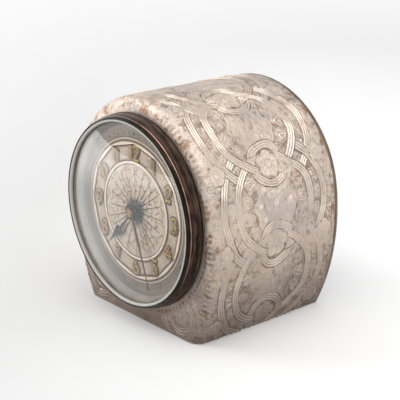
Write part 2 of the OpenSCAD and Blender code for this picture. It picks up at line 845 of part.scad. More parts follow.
module pillar_screws() color("#8a8378") clock()
    for (p = pillar_places)
        screw_forward(p, rear_plate_back_z, screw_r, plate_t + thread_l - thread_end,
            screw_head_r, pillar_screw_head_t);

// Plain bushes, flush with the outer face of each plate and standing out inside
module plate_bushes() color("#d3ad66") clock() {
    for (b = [[[0, 0], arbor_r], [set_at, set_arbor_r]]) {
        bush(b[0], b[1] + run_gap, plate_front_z, -bush_l);
        bush(b[0], b[1] + run_gap, rear_plate_back_z, bush_l);
    }
}

// Bush from a plate's outer face inwards: the run is negative towards the rear
module bush(at, bore_r, from_z, run) {
    low_z = min(from_z, from_z + run);
    difference() {
        bar(at, bush_r - push_gap, low_z, low_z + bush_l);
        bar(at, bore_r, low_z - eps, low_z + bush_l + eps);
    }
}

module minute_wheel_stud() color("#9a9488") clock() {
    bar(minute_at, stud_r - push_gap, plate_back_z, minute_pinion_front_z + 2 * end_play);
    bar(minute_at, stud_foot_r, plate_front_z, minute_wheel_back_z - end_play);
    bar(minute_at, stud_head_r, minute_pinion_front_z + end_play,
        minute_pinion_front_z + end_play + stud_head_t);
}

// Laminated stator: two poles round the rotor, joined below through the coil
module stator_core() color("#5c5852") clock() translate([rotor_at[0], rotor_at[1], 0]) difference() {
    raised(stator_back_z, stator_front_z) difference() {
        translate([-stator_x, core_top - core_h]) square([2 * stator_x, stator_top - core_top + core_h]);
        circle(r = can_r + air_gap, $fn = 120);
        translate([-pole_gap / 2, window_top - eps]) square([pole_gap, stator_top - window_top + 2 * eps]);
        translate([-window_x, core_top - core_h - eps])
            square([2 * window_x, window_top - core_top + core_h + eps]);
        translate([-window_x - core_notch, core_top - core_h]) square([2 * (window_x + core_notch), core_h]);
        for (s = [-1, 1]) rotate(s > 0 ? 0 : 180)
            translate([-slot_x - slot_w, 0]) square([slot_w, slot_depth]);
    }
    for (p = motor_posts_at) bar(p, screw_r + fit_gap, stator_back_z - eps, stator_front_z + eps);
}

module coil_core() color("#5c5852") clock() translate([rotor_at[0], rotor_at[1], 0])
    raised(stator_back_z, stator_front_z)
        translate([-window_x - core_notch, core_top - core_h]) square([2 * (window_x + core_notch), core_h]);

// A block round the core bar, between two places along it
module round_core(x0, x1, wall) {
    translate([x0, core_y - core_h / 2 - wall, stator_back_z - wall])
        cube([x1 - x0, core_h + 2 * wall, stator_t + 2 * wall]);
}

module coil_bobbin() color("#4b3426") clock() translate([rotor_at[0], rotor_at[1], 0]) difference() {
    union() {
        round_core(-bobbin_l / 2, bobbin_l / 2, bobbin_gap + bobbin_wall);
        for (s = [-1, 1]) round_core(s * (bobbin_l - flange_t) / 2 - flange_t / 2,
            s * (bobbin_l - flange_t) / 2 + flange_t / 2, bobbin_gap + bobbin_wall + winding_t);
    }
    round_core(-bobbin_l, bobbin_l, bobbin_gap);
}

// The winding: a rounded block between the flanges
module coil_winding() color("#8c4a2c") clock() translate([rotor_at[0], rotor_at[1], 0]) {
    out = bobbin_gap + bobbin_wall + winding_t - winding_drop;
    half = bobbin_l / 2 - flange_t;
    difference() {
        translate([-half, core_y, stator_mid_z]) rotate([90, 0, 90])
            linear_extrude(2 * half) round_plate(core_h + 2 * out, stator_t + 2 * out, winding_corner_r);
        round_core(-bobbin_l, bobbin_l, bobbin_gap + bobbin_wall);
    }
}

module coil_terminals() color("#c9b27a") clock() translate([rotor_at[0], rotor_at[1], 0])
    for (s = [-1, 1]) translate([s * terminal_x - terminal_w / 2, core_y - core_h / 2,
            stator_back_z - bobbin_gap - bobbin_wall - winding_t + winding_drop - terminal_t])
        cube([terminal_w, terminal_l, terminal_t]);

// Copper loops round one tip of each pole
module shading_rings() color("#b5643a") clock() translate([rotor_at[0], rotor_at[1], 0])
    for (s = [-1, 1]) rotate(s > 0 ? 0 : 180) {
        x0 = -slot_x - slot_w + loop_gap;
        x1 = -pole_gap / 2 + loop_t + loop_gap;
        x2 = -slot_x - loop_gap;
        translate([0, loop_low, 0]) difference() {
            translate([x0, 0, stator_back_z - loop_t]) cube([x1 - x0, loop_t, stator_t + 2 * loop_t]);
            translate([x2, -eps, stator_back_z]) cube([x1 - loop_t - x2, loop_t + 2 * eps, stator_t]);
        }
    }

module rotor_can() color("#b9803f") clock() difference() {
    union() {
        bar(rotor_at, can_r, can_front_z - can_l, can_front_z - can_step);
        bar(rotor_at, can_r - can_step, can_front_z - can_l, can_front_z);
    }
    bar(rotor_at, rotor_shaft_r + run_gap, can_front_z - rotor_bore_l, can_front_z + eps);
}

module motor_posts() color("#b08d4f") clock()
    for (p = motor_posts_at) difference() {
        bar(rotor_at + p, motor_post_r, stator_front_z, rear_plate_back_z);
        bar(rotor_at + p, screw_r + fit_gap, stator_front_z - eps, rear_plate_back_z + eps);
    }

// Long screws through stator and posts, with nuts inside the rear plate
module motor_screws() color("#8a8378") clock()
    for (p = motor_posts_at) {
        screw_forward(rotor_at + p, stator_back_z, screw_r,
            rear_plate_front_z + motor_nut_t + end_shake - stator_back_z, screw_head_r, motor_screw_head_t);
        bar(rotor_at + p, motor_nut_r, rear_plate_front_z, rear_plate_front_z + motor_nut_t, $fn = 6);
    }

// A hand's outline points up, and is turned to its time of day
module hand(angle, z) {
    rotate(-angle) raised(z, z + hand_t) children();
}

module hour_hand() color("#2b2a33") clock() {
    hand(hour_angle, hour_hand_z) difference() {
        union() {
            circle(r = hour_collet_r);
            taper(0, hour_stem_w, spade_at, hour_waist_w);
            translate([0, spade_at]) spade();
            taper(spade_at, hour_point_w, hour_hand_r, hour_tip_w);
        }
        circle(r = hour_pipe_r + push_gap);
    }
}

// A length of hand between two distances from the centre, with its width at each
module taper(from_y, from_w, to_y, to_w) {
    polygon([[-from_w / 2, from_y], [from_w / 2, from_y], [to_w / 2, to_y], [-to_w / 2, to_y]]);
}

// Two arcs that meet in points above and below
module spade() {
    arc_r = 2 * spade_r;
    intersection() {
        translate([arc_r - spade_r, 0]) circle(r = arc_r);
        translate([spade_r - arc_r, 0]) circle(r = arc_r);
    }
}

module minute_hand() color("#2b2a33") clock() hand(minute_angle, minute_hand_z) difference() {
    union() {
        circle(r = minute_hub_r);
        taper(0, minute_root_w, minute_hand_r, minute_tip_w);
    }
    circle(r = arbor_tip_r + push_gap);
}

module hand_nut() color("#a9803c") clock() difference() {
    union() {
        bar([0, 0], nut_r, nut_z, nut_z + nut_step_h);
        bar([0, 0], nut_crown_r, nut_z, nut_z + nut_h);
    }
    bar([0, 0], arbor_tip_r + push_gap, nut_z - eps, nut_z + nut_bore_l);
}

// Centre arbor with its pinion leaves, clutch shoulder and hand seat
module centre_arbor() color("#b9b4aa") clock() {
    bar([0, 0], arbor_r, rear_plate_back_z - arbor_end_out, minute_hand_z);
    bar([0, 0], arbor_tip_r, minute_hand_z - eps, arbor_tip_z);
    bar([0, 0], shoulder_r, centre_wheel_front_z, collar_front_z);
    raised(cannon_back_z, cannon_front_z) rotate(cannon_turn)
        gear_outline(cannon_teeth, motion_module, leaf_form);
    bar([0, 0], cannon_hub_r, plate_front_z + cannon_hub_gap, cannon_back_z + eps);
}

// Bowed washer that presses the centre wheel on the shoulder
module clutch_spring() color("#8f8a80") clock() rotate_extrude() polygon([
    [spring_in_r, clutch_collar_z],
    [spring_out_r - spring_seat_w, centre_wheel_back_z - spring_t],
    [spring_out_r, centre_wheel_back_z - spring_t],
    [spring_out_r, centre_wheel_back_z],
    [spring_out_r - spring_seat_w, centre_wheel_back_z],
    [spring_in_r, clutch_collar_z + spring_t]
]);

module clutch_collar() color("#b9b4aa") clock() difference() {
    bar([0, 0], clutch_collar_r, clutch_collar_z - clutch_collar_t, clutch_collar_z);
    bar([0, 0], arbor_r + push_gap, clutch_collar_z - clutch_collar_t - eps, clutch_collar_z + eps);
}

module centre_wheel() color("#c9a256") clock() difference() {
    raised(centre_wheel_back_z, centre_wheel_front_z) difference() {
        rotate(centre_turn) gear_outline(centre_teeth, centre_module, wheel_form);
        wheel_windows(5, spring_out_r + 1, centre_module * (centre_teeth / 2 - wheel_rim), arm_w);
    }
    bar([0, 0], arbor_r + run_gap, centre_wheel_back_z - eps, centre_wheel_front_z + eps);
}

module hour_wheel() color("#c9a256") clock() difference() {
    union() {
        raised(hour_wheel_back_z, hour_wheel_front_z) difference() {
            rotate(hour_turn) gear_outline(hour_teeth, hour_module, wheel_form);
            wheel_windows(4, wheel_hub_r, hour_module * (hour_teeth / 2 - wheel_rim), arm_w);
        }
        bar([0, 0], hour_pipe_r, hour_wheel_back_z, hour_hand_z + hand_t + hour_pipe_out);
        bar([0, 0], hour_hub_r, hour_wheel_back_z, hour_wheel_front_z + hour_hub_out);
    }
    bar([0, 0], arbor_r + run_gap, hour_wheel_back_z - eps, hour_hand_z + hand_t + hour_pipe_out + eps);
}

module minute_wheel() color("#c9a256") clock() translate([minute_at[0], minute_at[1], 0]) difference() {
    union() {
        raised(minute_wheel_back_z, minute_wheel_front_z) difference() {
            rotate(minute_turn) gear_outline(minute_teeth, motion_module, wheel_form);
            wheel_windows(4, wheel_hub_r, motion_module * (minute_teeth / 2 - wheel_rim), arm_w);
        }
        raised(minute_wheel_front_z - eps, minute_pinion_front_z) rotate(minute_pinion_turn)
            gear_outline(minute_pinion_teeth, hour_module, leaf_form);
    }
    bar([0, 0], stud_r + run_gap, minute_wheel_back_z - eps, minute_pinion_front_z + eps);
}

module intermediate_wheel() color("#c9a256") clock() translate([inter_at[0], inter_at[1], 0]) {
    bar([0, 0], pivot_r, rear_plate_back_z, plate_front_z);
    bar([0, 0], inter_arbor_r, rear_plate_front_z + end_shake, plate_back_z - end_shake);
    raised(inter_wheel_front_z - train_wheel_t, inter_wheel_front_z) difference() {
        rotate(inter_turn) gear_outline(inter_teeth, inter_module, wheel_form);
        wheel_windows(5, wheel_hub_r, inter_module * (inter_teeth / 2 - wheel_rim), arm_w);
    }
    raised(inter_pinion_front_z - inter_pinion_t, inter_pinion_front_z) rotate(inter_pinion_turn)
        gear_outline(inter_pinion_teeth, centre_module, leaf_form);
}

module rotor_pinion() color("#b9b4aa") clock() translate([rotor_at[0], rotor_at[1], 0]) {
    raised(rotor_pinion_front_z - rotor_pinion_t, rotor_pinion_front_z) rotate(rotor_turn)
        gear_outline(rotor_teeth, inter_module, leaf_form);
    bar([0, 0], rotor_shaft_r, can_front_z - rotor_bore_l + rotor_shaft_end_gap, rotor_pinion_front_z);
}

module set_arbor() color("#b9b4aa") clock() translate([set_at[0], set_at[1], 0]) {
    bar([0, 0], set_arbor_r, knob_back_z + knob_cap_t, cannon_front_z);
    raised(cannon_back_z, cannon_front_z) rotate(set_turn)
        gear_outline(set_teeth, motion_module, leaf_form);
    for (z = [rear_plate_front_z + set_collar_gap, plate_back_z - set_collar_gap - set_collar_t])
        bar([0, 0], set_collar_r, z, z + set_collar_t);
}

// Fluted knob, domed a little at the back
module set_knob() color("#3a2d22") clock() translate([set_at[0], set_at[1], 0]) difference() {
    rotate_extrude() polygon([
        [0, knob_back_z],
        [knob_r - 3 * knob_bevel, knob_back_z],
        [knob_r - knob_bevel, knob_back_z + knob_bevel],
        [knob_r, knob_back_z + 3 * knob_bevel],
        [knob_r, knob_front_z - 2 * knob_bevel],
        [knob_r - knob_bevel, knob_front_z - knob_bevel],
        [knob_hub_r, knob_front_z],
        [0, knob_front_z]
    ]);
    for (k = [0:flute_count - 1]) rotate(360 * k / flute_count)
        bar([knob_r + flute_out, 0], flute_r, knob_back_z - eps, knob_front_z + eps, $fn = 24);
    bar([0, 0], set_arbor_r + push_gap, knob_back_z + knob_cap_t - push_gap, knob_front_z + eps);
}

case_shell();
rear_rim();
rear_cover();
rear_cover_screws();
base_plate();
base_felt();
base_screws();
cord_grommet();
bezel_ring();
bezel_glass();
rehaut_ring();
dial_plate();
movement_spacers();
movement_screws();
front_plate();
rear_plate();
plate_pillars();
pillar_screws();
plate_bushes();
minute_wheel_stud();
stator_core();
coil_core();
coil_bobbin();
coil_winding();
coil_terminals();
shading_rings();
rotor_can();
motor_posts();
motor_screws();
minute_hand();
hand_nut();
centre_arbor();
clutch_spring();
clutch_collar();
centre_wheel();
hour_hand();
hour_wheel();
minute_wheel();
intermediate_wheel();
rotor_pinion();
set_arbor();
set_knob();
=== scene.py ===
"""Looks of the arched mantel clock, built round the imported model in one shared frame.

The dial pieces are worked out in the clock's own frame, in millimetres: x to the right and y up from
the dial's centre, h outwards from the flat front of the case. The case sheet is worked out as if laid
flat: u along the arch from its top, v from its rear edge towards the dial.
"""
import json
import math

import bpy
import numpy as np
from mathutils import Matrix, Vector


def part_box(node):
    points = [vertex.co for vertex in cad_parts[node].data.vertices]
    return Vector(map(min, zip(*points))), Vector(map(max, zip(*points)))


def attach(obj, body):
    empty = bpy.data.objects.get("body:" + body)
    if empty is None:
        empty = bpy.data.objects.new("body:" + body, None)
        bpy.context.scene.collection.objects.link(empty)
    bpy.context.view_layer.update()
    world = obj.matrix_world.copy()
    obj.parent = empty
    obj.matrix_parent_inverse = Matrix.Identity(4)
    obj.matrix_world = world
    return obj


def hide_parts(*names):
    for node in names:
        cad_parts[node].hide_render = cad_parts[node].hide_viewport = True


bl_info = {
    "name": "Arched mantel clock",
    "version": (1, 0, 0),
    "blender": (4, 5, 0),
    "location": "View3D > Sidebar > Clock",
    "description": "Case relief, dial, glass, hands, finishes and a plain stage for a packed mantel clock",
    "category": "Add Mesh",
}

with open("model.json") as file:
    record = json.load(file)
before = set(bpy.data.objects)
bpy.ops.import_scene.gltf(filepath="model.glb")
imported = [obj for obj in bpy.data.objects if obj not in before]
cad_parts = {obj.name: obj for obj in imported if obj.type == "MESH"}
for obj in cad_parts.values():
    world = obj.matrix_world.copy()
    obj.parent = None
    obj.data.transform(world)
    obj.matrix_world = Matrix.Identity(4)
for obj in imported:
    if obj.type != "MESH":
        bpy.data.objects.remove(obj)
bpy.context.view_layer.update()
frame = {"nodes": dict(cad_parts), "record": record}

MM = 1000.0
TURN = 2 * math.pi
CASE_LOW, CASE_HIGH = (np.array(corner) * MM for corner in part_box("case_shell"))
GLASS_LOW = np.array(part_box("bezel_glass")[0]) * MM
# The arch's round top is drawn about the dial's axis, which gives the axis its height over the floor
CROWN_R = 56.0
AXIS_Z = CASE_HIGH[2] - CROWN_R
# Height of the dial's face in front of the case, in the clock's own frame
FACE = 1.2
# Finishes by slot, filled by the finishes operator
FINISHES = {}

# The ornament, in mm: the middle of the case sheet, and the number of the chain's last ring each way
SHEET_MIDDLE = 40.0
LAST_RING = 3
# Rings of scrolls about a ring's centre: their radius, the number of scrolls, and the reach of each
SCROLL_RINGS = ((18.0, 13, 4.1), (28.3, 21, 3.6), (37.6, 27, 3.7))
# Flowers where two rings cross: their distance from the sheet's middle, and their radius
GAP_FLOWERS = ((0.0, 6.9), (32.4, 5.0), (-32.4, 5.0))


def linear(code):
    """Linear colour of an sRGB hex code, with full alpha."""
    parts = [int(code[k:k + 2], 16) / 255 for k in (1, 3, 5)]
    return tuple(c / 12.92 if c <= 0.04045 else ((c + 0.055) / 1.055) ** 2.4 for c in parts) + (1.0,)


def setting(name, description, default, **kind):
    """A number that a user may change, of the given unit or subtype."""
    return bpy.props.FloatProperty(name=name, description=description, default=default, **kind)


def length(name, description, default):
    """A length that a user may change, in metres."""
    return setting(name, description, default, unit="LENGTH", subtype="DISTANCE", precision=5)


def direction(name, description, degrees):
    """An angle that a user may change, given in degrees."""
    return setting(name, description, math.radians(degrees), subtype="ANGLE")


def colour(name, description, code):
    """A colour that a user may change."""
    return bpy.props.FloatVectorProperty(
        name=name, description=description, default=linear(code), subtype="COLOR", size=4, min=0, max=1)


class ClockCaseLook(bpy.types.PropertyGroup):
    """Outline and relief of the pressed case."""
    crown_r: length("Crown radius", "Radius of the arch's round top", CROWN_R / MM)
    flank_r: length("Flank radius", "Radius of the long arcs at the sides", 0.108)
    flank_angle: direction("Flank angle", "Where the crown turns into the flank, above the horizontal", 8)
    edge_round: length("Front round", "Radius of the rounded front edge", 0.006)
    sheet: length("Sheet", "Thickness of the case sheet", 0.0008)
    step: length("Step", "Distance between the points of the relief", 0.00024)
    relief: length("Relief", "Height of the tallest ornament over the ground", 0.0007)
    pitch: length("Ring pitch", "Distance along the arch between the ornament's rings", 0.0396)
    ring_r: length("Ring radius", "Radius of each ring's strap", 0.0238)
    arch_r: length("Arch radius", "Radius of the wider arcs round each ring", 0.0328)
    loop_r: length("Loop radius", "Radius of the small loops where two rings cross", 0.0098)
    strap_w: length("Strap width", "Width of a strap of three ridges", 0.0040)


class ClockDialLook(bpy.types.PropertyGroup):
    """Sizes of the dial and its numerals."""
    inner_ring_r: length("Inner ring", "Outer radius of the inner raised ring", 0.025)
    outer_ring_r: length("Outer ring", "Outer radius of the outer raised ring", 0.0347)
    ring_h: length("Ring height", "Height of the raised rings", 0.00035)
    numeral_r: length("Numeral radius", "Distance of the numerals' centres", 0.0292)
    numeral_h: length("Numeral height", "Height of a numeral", 0.0074)
    dot_r: length("Dot radius", "Distance of the minute dots", 0.0388)


class ClockFinish(bpy.types.PropertyGroup):
    """Colours of the surfaces."""
    plate: colour("Silver plate", "Rubbed high spots of the case", "#e9ddd0")
    plate_dull: colour("Dull plate", "Body of the case", "#d2c2b3")
    plate_ochre: colour("Ochre deposit", "Broad spots between the case's ornaments", "#9f826c")
    plate_brown: colour("Brown deposit", "Narrow grooves of the case", "#6b5546")
    bronze: colour("Bronzed brass", "Bezel", "#302823")
    # The crest's copper is partly rubbed metal and partly a painted highlight
    copper: colour("Rubbed crest", "Crest of the bezel", "#c79a86")
    cream: colour("Dial cream", "Ground of the dial", "#bca898")
    cream_brown: colour("Dial age", "Brown age in the dial's ground", "#a07e5c")
    track: colour("Minute track", "Grey track round the numerals", "#7f7064")
    rehaut: colour("Rehaut", "Sloping ring under the glass", "#8f8278")
    gilt: colour("Gilt", "Numerals", "#b08c48")
    # The ink also paints the shadows beside the numerals
    ink: colour("Ink", "Outlines and fine lines of the dial", "#38220c")
    blued: colour("Blued steel", "Hands", "#1e1a1b")
    brass: colour("Brass", "Turned brass pieces", "#a98446")


class ClockStage(bpy.types.PropertyGroup):
    """Camera and light."""
    azimuth: direction("Azimuth", "Camera's turn to the right of the dial's axis", 49.16)
    elevation: direction("Elevation", "Camera's height above the horizon", 18.52)
    distance: length("Distance", "From the camera to the point that it looks at", 0.67096)
    target: bpy.props.FloatVectorProperty(
        name="Target", description="Point that the camera looks at",
        default=(-0.04736, 0.03894, 0.0335), subtype="TRANSLATION")
    lens: setting("Lens", "Focal length on a sensor of 36 mm", 106.22, unit="CAMERA")
    key: setting("Key", "Power of the lamp on the left", 5.8, unit="POWER")
    top: setting("Top", "Power of the lamp overhead", 3.6, unit="POWER")
    front: setting("Front", "Power of the small lamp in front on the right", 1.4, unit="POWER")
    back: setting("Back", "Power of the lamp behind on the right", 1.0, unit="POWER")
    ambient: setting("Ambient", "Strength of the light from all round", 0.58, subtype="FACTOR")


def grid_faces(rows, cols, wrap_rows=False, wrap_cols=False):
    """Quads between neighbouring points of a grid. Where it wraps, the last row or column joins the first."""
    i, j = np.meshgrid(
        np.arange(rows if wrap_rows else rows - 1), np.arange(cols if wrap_cols else cols - 1), indexing="ij")
    below, beside = (i + 1) % rows, (j + 1) % cols
    corners = [i * cols + j, below * cols + j, below * cols + beside, i * cols + beside]
    return np.stack(corners, -1).reshape(-1, 4)


def signed_volume(points, faces):
    """Volume inside a closed mesh, by fans from each face's first corner. Faces inwards give one below 0."""
    total = 0.0
    for block in faces:
        first = points[block[:, 0]]
        for k in range(1, block.shape[1] - 1):
            total += np.einsum("ij,ij->", first, np.cross(points[block[:, k]], points[block[:, k + 1]]))
    return total / 6


def fill_mesh(mesh, points, faces):
    """Puts points (mm) and blocks of faces with equal numbers of corners into a mesh, facing outwards."""
    if signed_volume(points - points.mean(0), faces) < 0:
        faces = [block[:, ::-1] for block in faces]
    counts = np.concatenate([np.full(len(block), block.shape[1]) for block in faces])
    corners = np.concatenate([block.ravel() for block in faces])
    mesh.vertices.add(len(points))
    mesh.vertices.foreach_set("co", (points / MM).astype(np.float32).ravel())
    mesh.loops.add(int(counts.sum()))
    mesh.loops.foreach_set("vertex_index", corners.astype(np.int32))
    mesh.polygons.add(len(counts))
    mesh.polygons.foreach_set("loop_start", (np.cumsum(counts) - counts).astype(np.int32))
    mesh.polygons.foreach_set("use_smooth", np.ones(len(counts), bool))
    mesh.update(calc_edges=True)
    if mesh.validate():
        raise RuntimeError(f"{mesh.name} had faces that had to be mended")


def make_piece(name, shape, slot, replaced=(), body="movement_and_case", finish=None, sharp=35, values=None):
    """A new object of points in mm and faces, smooth except across edges sharper than the given degrees.

    It gets its slot's finish unless another is named, rides on its body and hides the CAD nodes that it
    stands for."""
    if not FINISHES:
        raise RuntimeError("The finishes have to be made first")
    mesh = bpy.data.meshes.new(name)
    fill_mesh(mesh, *shape)
    mesh.set_sharp_from_angle(angle=math.radians(sharp))
    for key, data in (values or {}).items():
        mesh.attributes.new(key, "FLOAT", "POINT").data.foreach_set("value", data.astype(np.float32))
    mesh.materials.append(FINISHES[finish or slot])
    piece = bpy.data.objects.new(name, mesh)
    bpy.context.scene.collection.objects.link(piece)
    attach(piece, body)
    if replaced:
        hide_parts(*replaced)


def clock_to_row(x, y, h):
    """Row-frame points of the clock's own frame: h runs towards the viewer, along -Y."""
    return np.stack([x, CASE_LOW[1] - h, AXIS_Z + y], -1)


def towards(turns):
    """Direction on the dial after so many turns clockwise from the 12."""
    return np.array([math.sin(TURN * turns), math.cos(TURN * turns)])


def from_nearest(value, pitch):
    """Signed distance from the nearest multiple of the pitch."""
    return (value / pitch - np.round(value / pitch)) * pitch


def tube_faces(rows, cols):
    """Faces of a tube of rows of points, with a flat face at each end."""
    ends = np.arange(cols)[None, :]
    return [grid_faces(rows, cols, wrap_cols=True), ends[:, ::-1], (rows - 1) * cols + ends]


def turned(profile, steps=240, centre=(0.0, 0.0), closed=True):
    """Points and faces of a profile of (radius, height) turned about the dial axis.

    A closed profile gives a ring. An open one gives a body whose two ends are flat faces."""
    profile = np.asarray(profile, float)
    angle = np.arange(steps) * TURN / steps
    r, h = profile[:, :1], profile[:, 1:]
    points = clock_to_row(centre[0] + r * np.cos(angle), centre[1] + r * np.sin(angle), h + 0 * angle)
    faces = [grid_faces(len(profile), steps, True, True)] if closed else tube_faces(len(profile), steps)
    return points.reshape(-1, 3), faces


def join(parts):
    """One set of points and faces from several."""
    points, faces, first = [], [], 0
    for part_points, part_faces in parts:
        points.append(part_points)
        faces += [block + first for block in part_faces]
        first += len(part_points)
    return np.concatenate(points), faces


def smooth_ring(points, per_span):
    """A closed curve through the points: between two of them a cubic whose slopes follow their neighbours."""
    points = np.asarray(points, float)
    before, after, beyond = (np.roll(points, k, 0) for k in (1, -1, -2))
    t = (np.arange(per_span) / per_span)[None, :, None]
    p0, p1, p2, p3 = (p[:, None, :] for p in (before, points, after, beyond))
    curve = 0.5 * (2 * p1 + (p2 - p0) * t + (2 * p0 - 5 * p1 + 4 * p2 - p3) * t ** 2
                   + (3 * p1 - p0 - 3 * p2 + p3) * t ** 3)
    return curve.reshape(-1, points.shape[1])


def ribbon(path, half_width, height, taper=0.0, across=7, base=FACE):
    """A raised stroke along a path on the dial: half an ellipse across, of the given half width and height.

    The cross-section turns with the path. taper narrows the width towards the path's end."""
    path = np.asarray(path, float)
    along = np.gradient(path, axis=0)
    along /= np.linalg.norm(along, axis=1, keepdims=True)
    side = np.stack([-along[:, 1], along[:, 0]], -1)
    angle = np.linspace(0, math.pi, across)
    width = half_width * (1 - taper * np.linspace(0, 1, len(path)))[:, None]
    x = path[:, :1] + side[:, :1] * width * np.cos(angle)
    y = path[:, 1:] + side[:, 1:] * width * np.cos(angle)
    h = base + height * np.sin(angle) + 0 * x
    return clock_to_row(x, y, h).reshape(-1, 3), tube_faces(len(path), across)


def shell_of(outer, inner, keep):
    """A closed sheet between two grids of points: the inner keeps every keep-th, and a rim joins them."""
    rows, cols = outer.shape[:2]
    inner = inner[::keep, ::keep]
    few_rows, few_cols = inner.shape[:2]
    start = rows * cols

    def border(n_rows, n_cols):
        i = np.concatenate([np.arange(n_rows - 1), np.full(n_cols - 1, n_rows - 1),
                            np.arange(n_rows - 1, 0, -1), np.zeros(n_cols - 1, int)])
        j = np.concatenate([np.zeros(n_rows - 1, int), np.arange(n_cols - 1),
                            np.full(n_rows - 1, n_cols - 1), np.arange(n_cols - 1, 0, -1)])
        return i * n_cols + j

    wide, narrow = border(rows, cols), border(few_rows, few_cols) + start
    owner = narrow[np.arange(len(wide)) // keep]
    fans = np.stack([np.roll(wide, -1), wide, owner], -1)
    ends = np.stack([np.roll(wide[::keep], -1), narrow, np.roll(narrow, -1)], -1)
    back = grid_faces(few_rows, few_cols)[:, ::-1] + start
    points = np.concatenate([outer.reshape(-1, 3), inner.reshape(-1, 3)])
    return points, [grid_faces(rows, cols), back, np.concatenate([fans, ends])]


def laid(field, where, height, deposit):
    """A pair of height and deposit with new ones laid over it where asked."""
    return np.where(where, height, field[0]), np.where(where, deposit, field[1])


def rosette(x, y, radius, petals, turn=0.0):
    """Height of a flower, 0 outside it: broad petals with raised rims and veins, round a beaded boss.

    The outline's radius swings with the petals' angle. Each petal is dished towards a vein down its middle,
    and finer veins fan out beside it."""
    r = np.hypot(x, y) / radius
    angle = np.arctan2(y, x) + turn
    lobe = np.abs(np.cos(angle * petals / 2))
    edge = 0.72 + 0.28 * lobe ** 0.45
    share = np.clip(r / edge, 0, 1)
    petal = (0.2 + 0.5 * lobe ** 0.3) * np.clip(1 - share ** 7, 0, 1) ** 0.5 * (0.55 + 0.45 * share ** 2)
    fan = np.sin(math.pi * np.clip((share - 0.35) / 0.6, 0, 1))
    petal -= (0.3 * np.exp(-((1 - lobe) / 0.02) ** 2) + 0.07 + 0.07 * np.cos(angle * petals * 7)) * fan
    boss = 0.62 + 0.3 * np.cos(angle * 7) * np.sin(math.pi * np.clip(r / 0.26, 0, 1))
    ring = (r > 0.26) & (r < 0.36)
    return np.where(r < 0.26, boss, np.where(ring, 0.06, petal)) * (r < edge)


def wander(u, v, size):
    """A smooth uneven field, mostly between -1 and 1, with bumps about size mm apart: five sine waves."""
    total = 0
    for k in range(5):
        heading = 1.1 + 2.4 * k
        along = u * math.cos(heading) + v * math.sin(heading)
        total = total + np.sin(along * TURN / size * (0.7 + 0.17 * k) + 1.9 * k)
    return total / 2.6


def pebbles(x, y, bend, bend_x, bend_y):
    """Round grains about 1.5 mm apart, from 0 to 1: two sine waves crossed, each bent along its crests."""
    first = np.sin(TURN * x / 1.5 + bend * np.sin(y * bend_y))
    return np.clip(first * np.sin(TURN * y / 1.4 + bend * np.sin(x * bend_x)), 0, 1)


def scrolls(r, angle, middle_r, count, reach):
    """Height of a ring of small C-scrolls about a centre, left and right by turns, and where they lie.

    In each scroll's own place the ridge is a cosine of its distance less its angle, which winds it up."""
    phase = angle * count / TURN
    cell = np.round(phase)
    p = (phase - cell) * TURN / count * r
    q = (r - middle_r) * np.where(cell % 2 == 0, 1, -1)
    d, turn = np.hypot(p, q), np.arctan2(q, p)
    fade = np.clip(1.35 - d / reach, 0, 1)
    curl = 0.5 + 0.5 * np.cos(TURN * d / (1.9 + 0.4 * np.sin(cell * 2.4)) - turn - cell)
    leafy = 0.7 + 0.3 * np.cos(TURN * d / 1.3 + 3 * turn)
    height = curl ** 1.3 * fade * leafy * (0.72 + 0.16 * np.sin(cell * 1.7))
    return height, d < reach * (0.9 + 0.12 * np.sin(cell * 3.1))


def ring_middle(field, u, v, r, angle):
    """A ring's inside laid over a field: rings of scrolls, and a hatched pad with petals and a wavy rim."""
    bent_r, bent = r + 0.6 * wander(u, v, 5.3), angle + 0.6 / np.maximum(r, 5) * wander(v, u, 4.7)
    for middle_r, count, reach in SCROLL_RINGS:
        curl, near = scrolls(bent_r, bent + 0.12, middle_r, count, reach)
        field = laid(field, near, np.maximum(field[0], curl - 0.05), np.clip(0.6 - 1.6 * curl, 0, 1))
    edge_r = 12.6 + 0.9 * np.cos(8 * angle) + 0.5 * wander(u, v, 7.1)
    hatch = 0.09 * np.sin(TURN * (v + 1.1 * np.sin(u / 2.1)) / 1.5 + 1.5 * wander(u, v, 9))
    pad = 0.1 + 0.12 * (1 - (r / edge_r) ** 2) + hatch + 0.1 * wander(u, v, 3.7)
    petals = np.clip(np.cos(8 * angle), 0, 1) * np.clip(1 - ((r - 9.8) / 2.2) ** 2, 0, 1)
    field = laid(field, r < edge_r, np.maximum(pad, 0.1 + 0.35 * petals), 0.25 + 0.35 * wander(u, v, 5))
    return laid(field, np.abs(r - edge_r) < 0.7, 0.32 * np.cos((r - edge_r) * math.pi / 1.4), field[1])


def straps(case, field, around, loops):
    """Circles of strap laid over a field: wide arcs behind, rings, and small loops where two rings cross.

    Where straps cross, the one with the larger lift, the sine of twice its own angle, lies on top. So each
    goes over and under by turns. The wide arcs lie lower and stop where a ring begins. Across a strap run
    three ridges, a cosine of the distance d from its middle, and a groove along each side."""
    half = case.strap_w * MM / 2
    best = np.full(field[0].shape, -9.0)
    inside = np.minimum.reduce([reach for reach, _ in around]) < case.ring_r * MM
    for radius, drop, circles in (
            (case.arch_r, 3.0, around), (case.ring_r, 0.0, around), (case.loop_r, 0.1, loops)):
        for reach, angle in circles:
            d = reach - radius * MM
            lift = np.sin(2 * angle) - drop
            shown = (np.abs(d) < half + 0.4) & (lift > best)
            if drop > 1:
                shown &= ~inside
            ridges = np.cos(3 * math.pi * d / half)
            strap = 0.38 + 0.34 * ridges, 0.05 + 0.5 * (0.5 - 0.5 * ridges)
            field = laid(field, shown, *laid((-0.22, 0.85), np.abs(d) < half, *strap))
            best = np.where(shown, lift, best)
    return field


